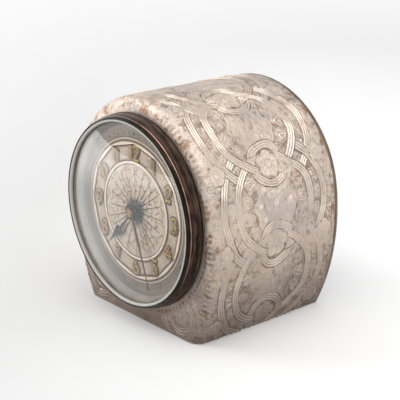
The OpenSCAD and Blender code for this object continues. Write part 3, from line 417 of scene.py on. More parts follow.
def ornament(case, flat_u, flat_v):
    """Height of the pressed ornament (1 is the top of a boss) and its brown deposit (0 to 1), at u and v.

    Rings of one radius stand in a chain along the arch and overlap their neighbours. Scrolls, petals and
    flowers fill the fields over a pebbled ground, and straps lie over them. Uneven fields bend the lines as
    handwork does."""
    pitch = case.pitch * MM
    u = flat_u + 0.65 * wander(flat_u, flat_v, 23) + 0.08 * wander(flat_u, flat_v, 6.1)
    sway = 0.65 * wander(flat_v, flat_u, 25) + 0.08 * wander(flat_v, flat_u, 6.7)
    v = flat_v + sway * np.sin(math.pi * flat_v / (2 * SHEET_MIDDLE))
    nearest, up = np.round(u / pitch), v - SHEET_MIDDLE
    across = [u - np.clip(nearest + k, -LAST_RING, LAST_RING) * pitch for k in (-1, 0, 1)]
    around = [(np.hypot(du, up), np.arctan2(up, du)) for du in across]
    gap_u = u - (np.floor(u / pitch) + 0.5) * pitch
    grain = pebbles(u, v, 2.6, 0.71, 0.83)
    field = -0.14 + 0.4 * grain + 0.08 * wander(u, v, 2.9), 0.5 - 0.35 * grain
    field = ring_middle(field, u, v, *around[1])
    flower = rosette(across[1], up, 7.0, 5)
    field = laid(field, flower > 0, 0.12 + 0.5 * flower, field[1])
    field = straps(case, field, around, [(np.hypot(gap_u, up), np.arctan2(up, gap_u))])
    for at, radius in GAP_FLOWERS:
        flower = rosette(gap_u, up - at, radius, 5, 0.5)
        bloom = laid((-0.1, 0.7), flower > 0, 0.12 + 0.7 * flower, 0.35 - 0.4 * flower)
        field = laid(field, np.hypot(gap_u, up - at) < radius * 1.05, *bloom)
    height, deposit = border_ornament(field, flat_u, flat_v)
    return worn_down(height, flat_u, flat_v), deposit


def border_ornament(field, u, v):
    """The sheet's plain rear edge, and rows of circlets and short brown flutes along the front round."""
    plain_to, circlets_from, flutes_from = 2.6, 75.3, 78.8
    circlet_v, circlet_pitch, flute_v, flute_pitch = 77.0, 3.1, 81.0, 2.9
    field = laid(field, v < plain_to, -0.04 + 0.14 * np.cos(TURN * v / 1.3), 0.8)
    brown = 0.6 + 0.3 * wander(u, v, 7)
    height, deposit = laid(field, v > circlets_from, 0.02 + 0.08 * wander(u, v, 3.3), brown)
    circlet = np.hypot(from_nearest(u, circlet_pitch), v - circlet_v + 0.4 * wander(u, v, 9))
    height = np.where(circlet < 1.35, 0.27 * np.cos((circlet - 0.85) * math.pi / 1.1), height)
    height = np.where(v > flutes_from, 0.04 + 0.1 * wander(u, v, 2.6), height)
    flute = np.hypot(from_nearest(u, flute_pitch) * 1.5, (v - flute_v + 0.9 * wander(u, v, 8)) * 0.8)
    height = np.where(flute < 1.7, -0.16 * np.cos(flute * math.pi / 3.4), height)
    return height, np.where(flute < 1.9, 1.7 - 0.5 * flute, deposit)


def worn_down(height, u, v):
    """A relief that uneven fields of wear have rubbed down, in places almost smooth, with shallow dents.

    Bell curves keep it crisper and more dented at the shoulders, and so does a ramp near the foot."""
    shoulder = np.exp(-((np.abs(u) - 62) / 24) ** 2 - ((v - 38) / 26) ** 2)
    foot = np.clip((np.abs(u) - 104) / 12, 0, 1)
    left = 0.66 + 0.5 * wander(u + 7, v, 26) + 0.22 * wander(u, v, 8)
    left = np.clip(left + 0.5 * shoulder + 0.5 * foot, 0.24, 1.3)
    dents = 0.07 * wander(u, v, 4.4) + 0.06 * wander(v, u, 11) + 0.1 * (shoulder + foot) * wander(u, v, 2.4)
    return 0.06 + (height - 0.06) * left + dents


def case_surface(case, side, crown, t, v):
    """Points and outward directions of the case sheet: t runs up a flank or a half of the crown, v forwards.

    Up to the front round the outline is carried straight forwards. Round the edge it shrinks by one minus
    the cosine of the turn, and moves on by its sine, each times the round's radius."""
    crown_r, flank_r, edge = case.crown_r * MM, case.flank_r * MM, case.edge_round * MM
    low, top_z = CASE_LOW[2], CASE_HIGH[2] - crown_r
    rear, front = CASE_HIGH[1], CASE_LOW[1] + edge
    straight = rear - front
    turn = np.clip((v - straight) / edge, 0, math.pi / 2)
    inset = edge * (1 - np.cos(turn))
    y = rear - np.minimum(v, straight) - edge * np.sin(turn)
    centre_x = (flank_r - crown_r) * -math.cos(case.flank_angle)
    centre_z = top_z - (flank_r - crown_r) * math.sin(case.flank_angle)
    if crown:
        angle = case.flank_angle + t * (math.pi / 2 - case.flank_angle)
        radius, centre = crown_r - inset, (0.0, top_z)
        along = crown_r * (math.pi / 2 - angle)
    else:
        lowest = np.arcsin((low - centre_z) / (flank_r - inset))
        angle = lowest + t * (case.flank_angle - lowest)
        radius, centre = flank_r - inset, (centre_x, centre_z)
        along = crown_r * (math.pi / 2 - case.flank_angle) + flank_r * (case.flank_angle - angle)
    x = side * (centre[0] + radius * np.cos(angle))
    z = centre[1] + radius * np.sin(angle)
    outward = np.stack([side * np.cos(angle) * np.cos(turn), -np.sin(turn), np.sin(angle) * np.cos(turn)], -1)
    return np.stack([x, y, z], -1), outward, side * along


def even_grid(length_u, length_v, step, keep):
    """Two axes from 0 to 1 whose counts of spans are multiples of keep, near the given step."""
    spans = [max(keep, int(round(size / step / keep)) * keep) for size in (length_u, length_v)]
    return np.meshgrid(np.linspace(0, 1, spans[0] + 1), np.linspace(0, 1, spans[1] + 1), indexing="ij")


def front_columns(case):
    """Outline of the flat front, once round: flanks and crown inset by the round, then the foot."""
    straight = CASE_HIGH[1] - CASE_LOW[1] - case.edge_round * MM
    end = np.full(1, straight + case.edge_round * MM * math.pi / 2)
    arc_count, foot_count = 130, 120
    t = np.linspace(0, 1, arc_count)[:, None]
    runs = []
    for side, crown, order in ((1, False, 1), (1, True, 1), (-1, True, -1), (-1, False, -1)):
        points = case_surface(case, side, crown, t, end[None, :] + 0 * t)[0][:, 0, :]
        runs.append(points[::order][:-1])
    foot = np.linspace(0, 1, foot_count)[:-1, None]
    first, last = runs[0][0], points[0]
    runs.append(last + (first - last) * foot)
    return np.concatenate(runs)


def front_ornament(x, y):
    """Height and deposit on the flat front: pebbles, a flower in two rings at each foot, a ring of pits."""
    r, angle = np.hypot(x, y), np.arctan2(y, x)
    grain = pebbles(x, y, 1.7, 0.7, 0.8)
    field = -0.05 + 0.3 * grain, 0.55 - 0.4 * grain
    corner = np.abs(x) - 32.0, y + 45.5
    band_r, pits_r, pit_count = 53.2, 51.2, 104
    for radius in (8.4, 13.6):
        d = np.hypot(*corner) - radius
        field = laid(field, np.abs(d) < 1.7, 0.35 + 0.42 * np.cos(d * TURN / 1.7), 0.1)
    flower = rosette(*corner, 5.6, 6)
    field = laid(field, flower > 0, 0.1 + 0.9 * flower, 0.1)
    height, deposit = laid(field, r < band_r, 0.05, 0.25)
    pit = np.hypot(from_nearest(angle, TURN / pit_count) * r, r - pits_r)
    height = np.where(pit < 1.15, -0.18 * np.cos(pit * math.pi / 2.3), height)
    return height, np.where(pit < 1.3, 1.1 - 0.35 * pit, deposit)


def add(tree, kind, settings=None):
    """Adds a node. Each setting goes to the input or property of its name or number, a socket by a link."""
    node = tree.nodes.new(kind)
    for key, value in (settings or {}).items():
        if isinstance(value, bpy.types.NodeSocket):
            tree.links.new(value, node.inputs[key])
        elif isinstance(key, int) or key in node.inputs:
            node.inputs[key].default_value = linear(value) if str(value).startswith("#") else value
        else:
            setattr(node, key, value)
    return node


def painted(tree, name):
    """A value that a piece carries at its points."""
    return add(tree, "ShaderNodeAttribute", {"attribute_name": name}).outputs["Fac"]


def own_place(tree):
    """A point's own place in metres: its Object coordinates, which are the shared frame's."""
    return add(tree, "ShaderNodeTexCoord").outputs["Object"]


def along_axis(tree, number):
    """One of the own place's three coordinates."""
    return add(tree, "ShaderNodeSeparateXYZ", {0: own_place(tree)}).outputs[number]


def from_axis(tree):
    """Distance from the dial's axis in metres."""
    centred = {"Vector": own_place(tree), "Location": (0, 0, -AXIS_Z / MM)}
    flat = {"operation": "MULTIPLY", 0: add(tree, "ShaderNodeMapping", centred).outputs[0], 1: (1, 0, 1)}
    flat = add(tree, "ShaderNodeVectorMath", flat).outputs[0]
    return add(tree, "ShaderNodeVectorMath", {"operation": "LENGTH", 0: flat}).outputs[1]


def new_finish(name, **constants):
    """A material with one Principled shader whose constants sit on its own sockets, and its node tree."""
    material = bpy.data.materials.new(name)
    material.use_nodes = True
    tree = material.node_tree
    tree.nodes.clear()
    settings = {key.replace("_", " "): value for key, value in constants.items()}
    shader = add(tree, "ShaderNodeBsdfPrincipled", settings)
    add(tree, "ShaderNodeOutputMaterial", {"Surface": shader.outputs[0]})
    return material, tree


def dress(material, tone, roughness=None, height=None, depth_mm=0.0):
    """Links a material's colour, and its roughness and fine unevenness of the given depth if it has them."""
    tree = material.node_tree
    links = {"Base Color": tone, "Roughness": roughness}
    if height is not None:
        uneven = add(tree, "ShaderNodeBump", {"Strength": 1.0, "Distance": depth_mm / MM, "Height": height})
        links["Normal"] = uneven.outputs[0]
    for key, socket in links.items():
        if socket is not None:
            tree.links.new(socket, tree.nodes["Principled BSDF"].inputs[key])
    return material


def noise(tree, size_mm, detail=3.0, roughness=0.55, stretch=None):
    """Noise on Object coordinates with blotches about size_mm across, drawn out along an axis if asked."""
    place = own_place(tree)
    if stretch:
        place = add(tree, "ShaderNodeMapping", {"Vector": place, "Scale": stretch}).outputs[0]
    texture = {"Vector": place, "Scale": MM / size_mm, "Detail": detail, "Roughness": roughness}
    return add(tree, "ShaderNodeTexNoise", texture).outputs["Fac"]


def spread(tree, socket, low, high, start=0.0, end=1.0):
    """A value moved from the range low to high into the range start to end, and held there."""
    return add(tree, "ShaderNodeMapRange", {0: socket, 1: low, 2: high, 3: start, 4: end}).outputs[0]


def mixed(tree, first, second, factor, *limits):
    """Colour from a first to a second by a factor, spread between limits if they are given.

    Each colour is a hex code, a property or a socket."""
    factor = spread(tree, factor, *limits) if limits else factor
    return add(tree, "ShaderNodeMix", {"data_type": "RGBA", 0: factor, 6: first, 7: second}).outputs[2]


def maths(tree, operation, first, second):
    """A sum, product or the like of two sockets."""
    return add(tree, "ShaderNodeMath", {"operation": operation, 0: first, 1: second}).outputs[0]


def pressed_silver_plate(finish):
    """Embossed brass sheet, silver plated: rubbed bright on its high spots, browned in its recesses.

    The eye sees soft broken glints on the ridges, a dull warm body with painted shade that darkens it
    towards the foot, and brown where polish never reached."""
    material, tree = new_finish("pressed_silver_plate", Metallic=1.0)
    height = painted(tree, "relief")
    clouds, grain = noise(tree, 9.0, 4.0, 0.6), noise(tree, 1.1, 4.0, 0.65)
    body = mixed(tree, finish.plate_dull, "#bcb0a8", noise(tree, 24.0, 3.0, 0.6), 0.38, 0.64)
    tone = mixed(tree, body, finish.plate, height, 0.25, 0.75)
    tone = mixed(tree, tone, body, clouds, 0.42, 0.72, 0.0, 0.5)
    blots = spread(tree, noise(tree, 5.5, 2.0, 0.5), 0.51, 0.65)
    spots = maths(tree, "MULTIPLY", painted(tree, "deposit"), blots)
    tone = mixed(tree, tone, finish.plate_ochre, spots, 0.15, 0.7, 0.0, 0.9)
    low = maths(tree, "ADD", height, spread(tree, grain, 0.35, 0.75, -0.12, 0.12))
    tone = mixed(tree, tone, finish.plate_brown, low, 0.04, -0.24, 0.0, 0.6)
    tone = mixed(tree, tone, "#3e2c20", noise(tree, 0.9, 1.0, 0.5), 0.74, 0.8, 0.0, 0.6)
    # Painted shade: darker towards the foot, standing in for the dim floor that the lower flank mirrors
    tone = mixed(tree, tone, "#6a5d53", along_axis(tree, 2), 0.004, 0.062, 0.72, 0.0)
    polish = spread(tree, clouds, 0.45, 0.65, 0.0, 0.1)
    rubbing = maths(tree, "SUBTRACT", spread(tree, low, -0.2, 0.6, 0.56, 0.4), polish)
    return dress(material, tone, rubbing, grain, 0.10)


def rolled_rim():
    """Plain rolled silver-plated edge, worn: fine lines run round it where it was drawn through rolls."""
    material, tree = new_finish("rolled_silver_rim", Metallic=1.0, Roughness=0.36)
    lines = noise(tree, 1.0, 3.0, 0.6, stretch=(0.05, 1.4, 0.05))
    tone = mixed(tree, "#55463c", "#7c6c61", lines, 0.4, 0.6)
    tone = mixed(tree, tone, "#877668", noise(tree, 11.0), 0.4, 0.75)
    return dress(material, tone, None, lines, 0.05)


def bronzed_brass(finish):
    """Brass bronzed brown-black by heat and oil, rubbed through to copper red along its crest.

    The crest's copper is also a painted highlight that grows towards the top. Where the crest value is below
    0, on the lip's front, in the groove under the crest and at the foot, painted shade makes it near black.
    """
    material, tree = new_finish("bronzed_brass", Metallic=1.0)
    crest, clouds = painted(tree, "crest"), noise(tree, 6.0, 4.0, 0.6)
    lines = noise(tree, 1.2, 3.0, 0.6, stretch=(0.12, 1.0, 0.12))
    tone = mixed(tree, finish.bronze, "#4a3e35", clouds, 0.4, 0.7)
    tone = mixed(tree, tone, "#7a6656", lines, 0.5, 0.7, 0.0, 0.55)
    # Painted shade: near black on the lip's front, in the groove under the crest and at the foot
    tone = mixed(tree, tone, "#17110d", crest, 0.0, -1.0)
    # Painted highlight: the copper on the crest grows stronger towards the top
    upper = spread(tree, along_axis(tree, 2), 0.03, 0.085, 0.25, 1.0)
    rub_and_top_sheen = maths(tree, "MULTIPLY", spread(tree, clouds, 0.3, 0.6, 0.45), upper)
    tone = mixed(tree, tone, finish.copper, maths(tree, "MULTIPLY", crest, rub_and_top_sheen))
    return dress(material, tone, spread(tree, clouds, 0.3, 0.7, 0.24, 0.42), noise(tree, 0.7), 0.02)


def cap_brass():
    """Turned brass nut: a bright crown, and a flange blacked like the hands, parted at a radius of 2.1 mm."""
    material, tree = new_finish("turned_brass_cap", Metallic=1.0)
    marks = noise(tree, 0.5, 3.0, 0.6)
    crown = mixed(tree, "#9a7440", "#6f5230", marks, 0.35, 0.7)
    tone = mixed(tree, crown, "#25211f", from_axis(tree), 0.0020, 0.0022)
    return dress(material, tone, spread(tree, marks, 0.3, 0.7, 0.26, 0.4))


def clear_glass():
    """Domed soda-lime glass, clear through its face. Lamps shine through it on to the dial."""
    material, tree = new_finish("soda_lime_glass", Base_Color="#fbfdfb", Roughness=0.0, IOR=1.5,
                                Transmission_Weight=1.0, Specular_IOR_Level=0.25)
    through = add(tree, "ShaderNodeBsdfTransparent", {"Color": "#f4f8f5"}).outputs[0]
    both = {0: add(tree, "ShaderNodeLightPath").outputs["Is Shadow Ray"],
            1: tree.nodes["Principled BSDF"].outputs[0], 2: through}
    both = add(tree, "ShaderNodeMixShader", both).outputs[0]
    tree.links.new(both, tree.nodes["Material Output"].inputs["Surface"])
    return material


def ground_edge():
    """Edge of the glass, ground matt: pale grey-green in front, and a dim grey where it faces inwards, which
    is painted shade.

    Towards the left it is painted a warm pale grey, a painted reflection that blends it into the pale haze
    over the glass there."""
    material, tree = new_finish("ground_glass_edge", Roughness=0.4)
    grit = noise(tree, 0.7)
    tone = mixed(tree, "#c3c9c0", "#a9b0a6", grit, 0.35, 0.7)
    # Painted shade where the edge faces inwards
    tone = mixed(tree, tone, "#b3b0ac", painted(tree, "inward_painted_shade"))
    # Painted haze: warm pale grey towards the left
    return dress(material, mixed(tree, tone, "#c6bfb9", painted(tree, "left_painted_haze")), None, grit, 0.01)


def aged_lacquer(finish):
    """Dial of pressed brass, silvered and lacquered cream, with brown age spots and a grey minute track.

    The silver under the lacquer mirrors the hands, so that dim second ones show beside them. The sunk value
    paints brown shade round the numerals and along the rings' feet, and paler tops on the rings."""
    material, tree = new_finish("aged_dial_lacquer", Roughness=0.27, Metallic=0.5)
    clouds, specks, sunk = noise(tree, 5.0, 4.0, 0.6), noise(tree, 0.8, 3.0, 0.6), painted(tree, "sunk")
    ground = mixed(tree, finish.cream, finish.cream_brown, clouds, 0.5, 0.72, 0.0, 0.75)
    ground = mixed(tree, ground, finish.cream_brown, specks, 0.5, 0.72, 0.0, 0.6)
    track = mixed(tree, finish.track, "#65574e", clouds, 0.35, 0.75, 0.0, 0.5)
    tone = mixed(tree, ground, track, from_axis(tree), 0.0347, 0.0352)
    # Painted shade by the sunk value: brown round each numeral and along the rings' feet, paler on the rings'
    # tops
    tone = mixed(tree, tone, "#51300f", sunk, 0.0, 1.1)
    tone = mixed(tree, tone, "#dcc6b4", sunk, 0.0, -0.5)
    return dress(material, tone, None, specks, 0.008)


def plain_metal(name, first, second, roughness, size_mm=4.0, stretch=None, fine_mm=0.5, depth_mm=0.01):
    """A metal of two tones in soft clouds, with fine marks of its making. Callers say which."""
    material, tree = new_finish(name, Metallic=1.0)
    marks = noise(tree, fine_mm, 3.0, 0.6, stretch)
    tone = mixed(tree, first, second, noise(tree, size_mm), 0.35, 0.7)
    rough = spread(tree, marks, 0.3, 0.7, roughness * 0.8, roughness * 1.25)
    return dress(material, tone, rough, marks, depth_mm)


def coated(name, first, second, roughness, size_mm, depth_mm, **constants):
    """A paint, plastic, rubber or cloth of two tones, with unevenness of one size. Callers say which."""
    material, tree = new_finish(name, **constants)
    grain = noise(tree, size_mm)
    tone = mixed(tree, first, second, noise(tree, size_mm * 9), 0.35, 0.7)
    rough = spread(tree, grain, 0.3, 0.7, roughness * 0.85, roughness * 1.2)
    return dress(material, tone, rough, grain, depth_mm)


def make_finishes(finish):
    """Every finish of the clock: those of the record's slots, and those of smaller pieces within a slot."""
    return {
        "case_silver": pressed_silver_plate(finish),
        "rim_silver": rolled_rim(),
        "bezel_bronze": bronzed_brass(finish),
        "watch_glass": clear_glass(),
        "ground_edge": ground_edge(),
        "dial_cream": aged_lacquer(finish),
        # Satin grey paint: a plain soft slope under the glass
        "rehaut_grey": coated("satin_grey_paint", finish.rehaut, "#75675c", 0.45, 0.8, 0.01),
        # Steel blued by heat: near black, with a purple-brown sheen
        "blued_steel": plain_metal("blued_steel", finish.blued, "#302829", 0.3),
        # Turned brass: fine rings from the lathe, a soft yellow
        "turned_brass": plain_metal("turned_brass", finish.brass, "#8a6a38", 0.3, 4.0, (1, 6, 1)),
        # Rolled sheet brass under lacquer: straight fine grain
        "plate_brass": plain_metal("rolled_sheet_brass", "#b8935a", "#93733f", 0.28, 9.0, (1, 1, 0.08)),
        # Cut steel screws: grey, lightly oiled
        "screw_steel": plain_metal("cut_steel", "#8d8983", "#5f5a54", 0.35),
        # Black japanned sheet steel: baked lacquer over steel, a little orange-peeled
        "cover_steel": coated("black_japan", "#2e2723", "#3b322c", 0.38, 0.9, 0.03),
        # Pressed wool felt: matt, with short fibres
        "base_felt_cloth": coated("wool_felt", "#33402f", "#27321f", 0.95, 0.35, 0.12,
                                  Sheen_Weight=0.4, Sheen_Roughness=0.5),
        # Moulded rubber: dull black with a faint bloom
        "inlet_rubber": coated("moulded_rubber", "#1d1b1a", "#2b2927", 0.62, 0.6, 0.02),
        # Stacked iron stampings: dark scale, with the edges of the sheets as fine lines along Y
        "lamination_steel": plain_metal("iron_stampings", "#55504c", "#38332f", 0.5, 5.0,
                                        (0.1, 2.0, 0.1), 0.6, 0.05),
        # Vulcanised fibre: dull red-brown board
        "bobbin_fibre": coated("vulcanised_fibre", "#5a3624", "#47291a", 0.6, 0.7, 0.02),
        # Enamelled copper wire: each turn shows as a fine line across the coil
        "coil_copper": plain_metal("enamelled_copper", "#8a4a28", "#6a351b", 0.32, 5.0,
                                   (2.2, 0.1, 0.1), 0.6, 0.08),
        # Ground and polished steel arbors: cool and bright
        "arbor_steel": plain_metal("polished_steel", "#a6a39e", "#85817b", 0.2, 3.0, (1, 8, 1)),
        # Moulded phenolic: dark brown, glossy, faintly mottled
        "knob_bakelite": coated("brown_phenolic", "#2b170e", "#3a2114", 0.22, 0.9, 0.006),
        # Gilt brass numerals, rubbed bright on top
        "numeral_gilt": plain_metal("gilt_brass", finish.gilt, "#765927", 0.4, 1.5),
        # Blue-black enamel round the dial's centre: a matt dark star that is also a painted shadow of the
        # hands' hub
        "centre_ink_and_shadow": coated("blue_black_enamel_and_shadow", "#23272d", "#30353c", 0.55, 0.5, 0.004),
        # Dark brown enamel in the outlines and fine lines, with little gloss; the numerals' outlines also
        # carry a painted shadow
        "dial_ink_and_shadow": coated("brown_enamel_and_shadow", finish.ink, "#472c10", 0.5, 0.5, 0.004, Specular_IOR_Level=0.2),
        "cap_brass": cap_brass(),
    }


class ClockOperator:
    """What the clock's operators share: they can be undone, and they work in any context."""
    bl_options = {"REGISTER", "UNDO"}


class CLOCK_OT_finishes(ClockOperator, bpy.types.Operator):
    """Makes every finish and gives each CAD node the finish of its slot"""
    bl_idname = "clock.finishes"
    bl_label = "Finishes"

    def execute(self, context):
        FINISHES.update(make_finishes(context.scene.clock_finish))
        for subpart in frame["record"]["subparts"]:
            node = frame["nodes"][subpart["node"]]
            node.data.materials.clear()
            node.data.materials.append(FINISHES[subpart["material_slot"]])
        return {"FINISHED"}


class CLOCK_OT_case(ClockOperator, bpy.types.Operator):
    """Makes the embossed case as eight sheets of relief and its flat front"""
    bl_idname = "clock.case"
    bl_label = "Case"

    def execute(self, context):
        case = context.scene.clock_case
        # The inner side of a sheet has one point for so many of the outer side's
        keep = 6
        depth = CASE_HIGH[1] - CASE_LOW[1] - case.edge_round * MM * (1 - math.pi / 2)
        # How far a flank and half the crown run along the arch, which sets how many points they get
        runs = {"flank": case.flank_r * MM * math.radians(35.8),
                "crown": case.crown_r * MM * (math.pi / 2 - case.flank_angle)}
        for side, side_word in ((1, "right"), (-1, "left")):
            for part, run in runs.items():
                for start, height_word in ((0.0, "lower"), (0.5, "upper")):
                    t, v = even_grid(run / 2, depth, case.step * MM, keep)
                    surface, outward, u = case_surface(case, side, part == "crown", start + t / 2, v * depth)
                    height, deposit = ornament(case, u, v * depth)
                    outer = surface + outward * (height * case.relief * MM)[..., None]
                    shape = shell_of(outer, surface - outward * case.sheet * MM, keep)
                    spare = len(shape[0]) - height.size
                    values = {"relief": np.append(height.ravel(), np.zeros(spare)),
                              "deposit": np.append(deposit.ravel(), np.ones(spare))}
                    make_piece(f"case_{part}_{height_word}_{side_word}", shape, "case_silver", ["case_shell"],
                               sharp=75, values=values)
        self.make_front(case)
        return {"FINISHED"}

    def make_front(self, case):
        """The flat front as a ruled sheet from a hole under the bezel out to the round edge.

        The relief sinks to the edge's own height over the last eighth of the way."""
        hole_r, rings = 47.9, 49
        outline = front_columns(case)
        centre = np.array([0, CASE_LOW[1], CASE_HIGH[2] - case.crown_r * MM])
        away = outline - centre
        start = centre + away / np.linalg.norm(away, axis=1, keepdims=True) * hole_r
        share = np.linspace(0, 1, rings)[:, None]
        outer = start + (outline - start) * share[..., None]
        inner = outer + np.array([0, case.sheet * MM, 0])
        height, deposit = front_ornament(outer[..., 0], outer[..., 2] - centre[2])
        height = height * np.clip((1 - share) * 8, 0, 1) + 0.05 * np.clip(share * 8 - 7, 0, 1)
        outer[..., 1] -= height * case.relief * MM
        shape = (np.concatenate([outer, inner[::-1]]).reshape(-1, 3),
                 [grid_faces(2 * rings, len(outline), wrap_rows=True, wrap_cols=True)])
        values = {"relief": np.concatenate([height, 0 * height]).ravel(),
                  "deposit": np.concatenate([deposit, 0 * deposit]).ravel()}
        make_piece("case_front", shape, "case_silver", ["case_shell"], sharp=75, values=values)


class CLOCK_OT_bezel(ClockOperator, bpy.types.Operator):
    """Turns the bezel, the glass with its ground edge, and the sloping ring under it"""
    bl_idname = "clock.bezel"
    bl_label = "Bezel and glass"

    def execute(self, context):
        self.make_bezel()
        self.make_edge()
        self.make_glass()
        slope = [(43.0, 1.25), (44.5, 4.5), (45.9, 4.7), (45.9, 4.9), (44.35, 4.85), (42.65, 1.3)]
        make_piece("rehaut_slope", turned(slope), "rehaut_grey", ["rehaut_ring"])
        return {"FINISHED"}

    def make_bezel(self):
        """The bezel's section turned, with a value above 0 along its crest, rubbed copper that is also a
        painted highlight, and below 0 where painted shade darkens it.

        Bell curves of the height h mark the crest, and the painted shade in the groove beside it and at the
        foot.
        The lip's front above the crest gets painted shade too."""
        section = [(46.5, 0), (47.8, 0), (48.8, 0.05), (48.85, 0.9), (48.45, 1.8), (48.4, 3.2), (48.55, 4.6),
                   (48.3, 5.8), (47.95, 6.7), (47.75, 7.6), (47.4, 8.5), (47.05, 8.9), (46.75, 8.8),
                   (46.55, 8.3), (46.5, 6.9)]
        profile, steps = smooth_ring(section, 10), 360
        r, h = profile.T
        bell = [np.exp(-((h - at) / width) ** 2) for at, width in ((6.7, 0.17), (6.0, 0.3), (0.4, 0.5))]
        outside = 1.3 * bell[0] - 0.5 * bell[1] - 0.7 * np.clip((h - 6.9) / 0.3, 0, 1)
        # Above 0 the copper crest, partly a painted highlight; below 0 painted shade
        crest = outside * (r > 47) - 0.8 * bell[2]
        make_piece("bezel_turned", turned(profile, steps), "bezel_bronze", ["bezel_ring"],
                   sharp=50, values={"crest": np.repeat(crest, steps)})

    def make_edge(self):
        """The glass's ground edge as a turned bead, with values for the painted shade of its inward side and
        for the painted haze on its left.
        """
        bead = [(46.5, 8.4), (46.2, 8.7), (45.7, 8.6), (45.35, 8.2), (45.2, 7.65), (45.35, 7.25),
                (45.95, 7.0), (45.95, 6.0), (45.95, 5.0), (46.45, 5.0), (46.5, 6.8)]
        profile, steps = smooth_ring(bead, 4), 300
        points, faces = turned(profile, steps)
        # Painted shade on the side that faces inwards
        values = {"inward_painted_shade": np.repeat(np.clip((8.3 - profile[:, 1]) / 0.3, 0, 1), steps),
                  # Painted haze, growing towards the left
                  "left_painted_haze": np.clip((-points[:, 0] - 14) / 20, 0, 1)}
        make_piece("glass_ground_edge", (points, faces), "watch_glass", ["bezel_ring"],
                   finish="ground_edge", sharp=60, values=values)

    def make_glass(self):
        """The glass between two spheres about one centre."""
        rim_r, radius, thick = 45.9, 148.14, 1.8
        centre_h = CASE_LOW[1] - GLASS_LOW[1] - radius
        r = rim_r * np.concatenate([[0.002], np.linspace(0, 1, 40)[1:]])
        balls = radius, radius - thick
        outer, inner = (np.stack([r, centre_h + np.sqrt(ball ** 2 - r ** 2)], -1) for ball in balls)
        shape = turned(np.concatenate([outer, inner[::-1]]), closed=False)
        make_piece("glass_dome", shape, "watch_glass", ["bezel_glass"], sharp=40)


def twelve_sided(angle, corner_r):
    """Radius of a regular twelve-sided outline whose corners stand at the hours."""
    side = TURN / 12
    return corner_r * math.cos(side / 2) / np.cos(np.abs(from_nearest(angle, side)) - side / 2)


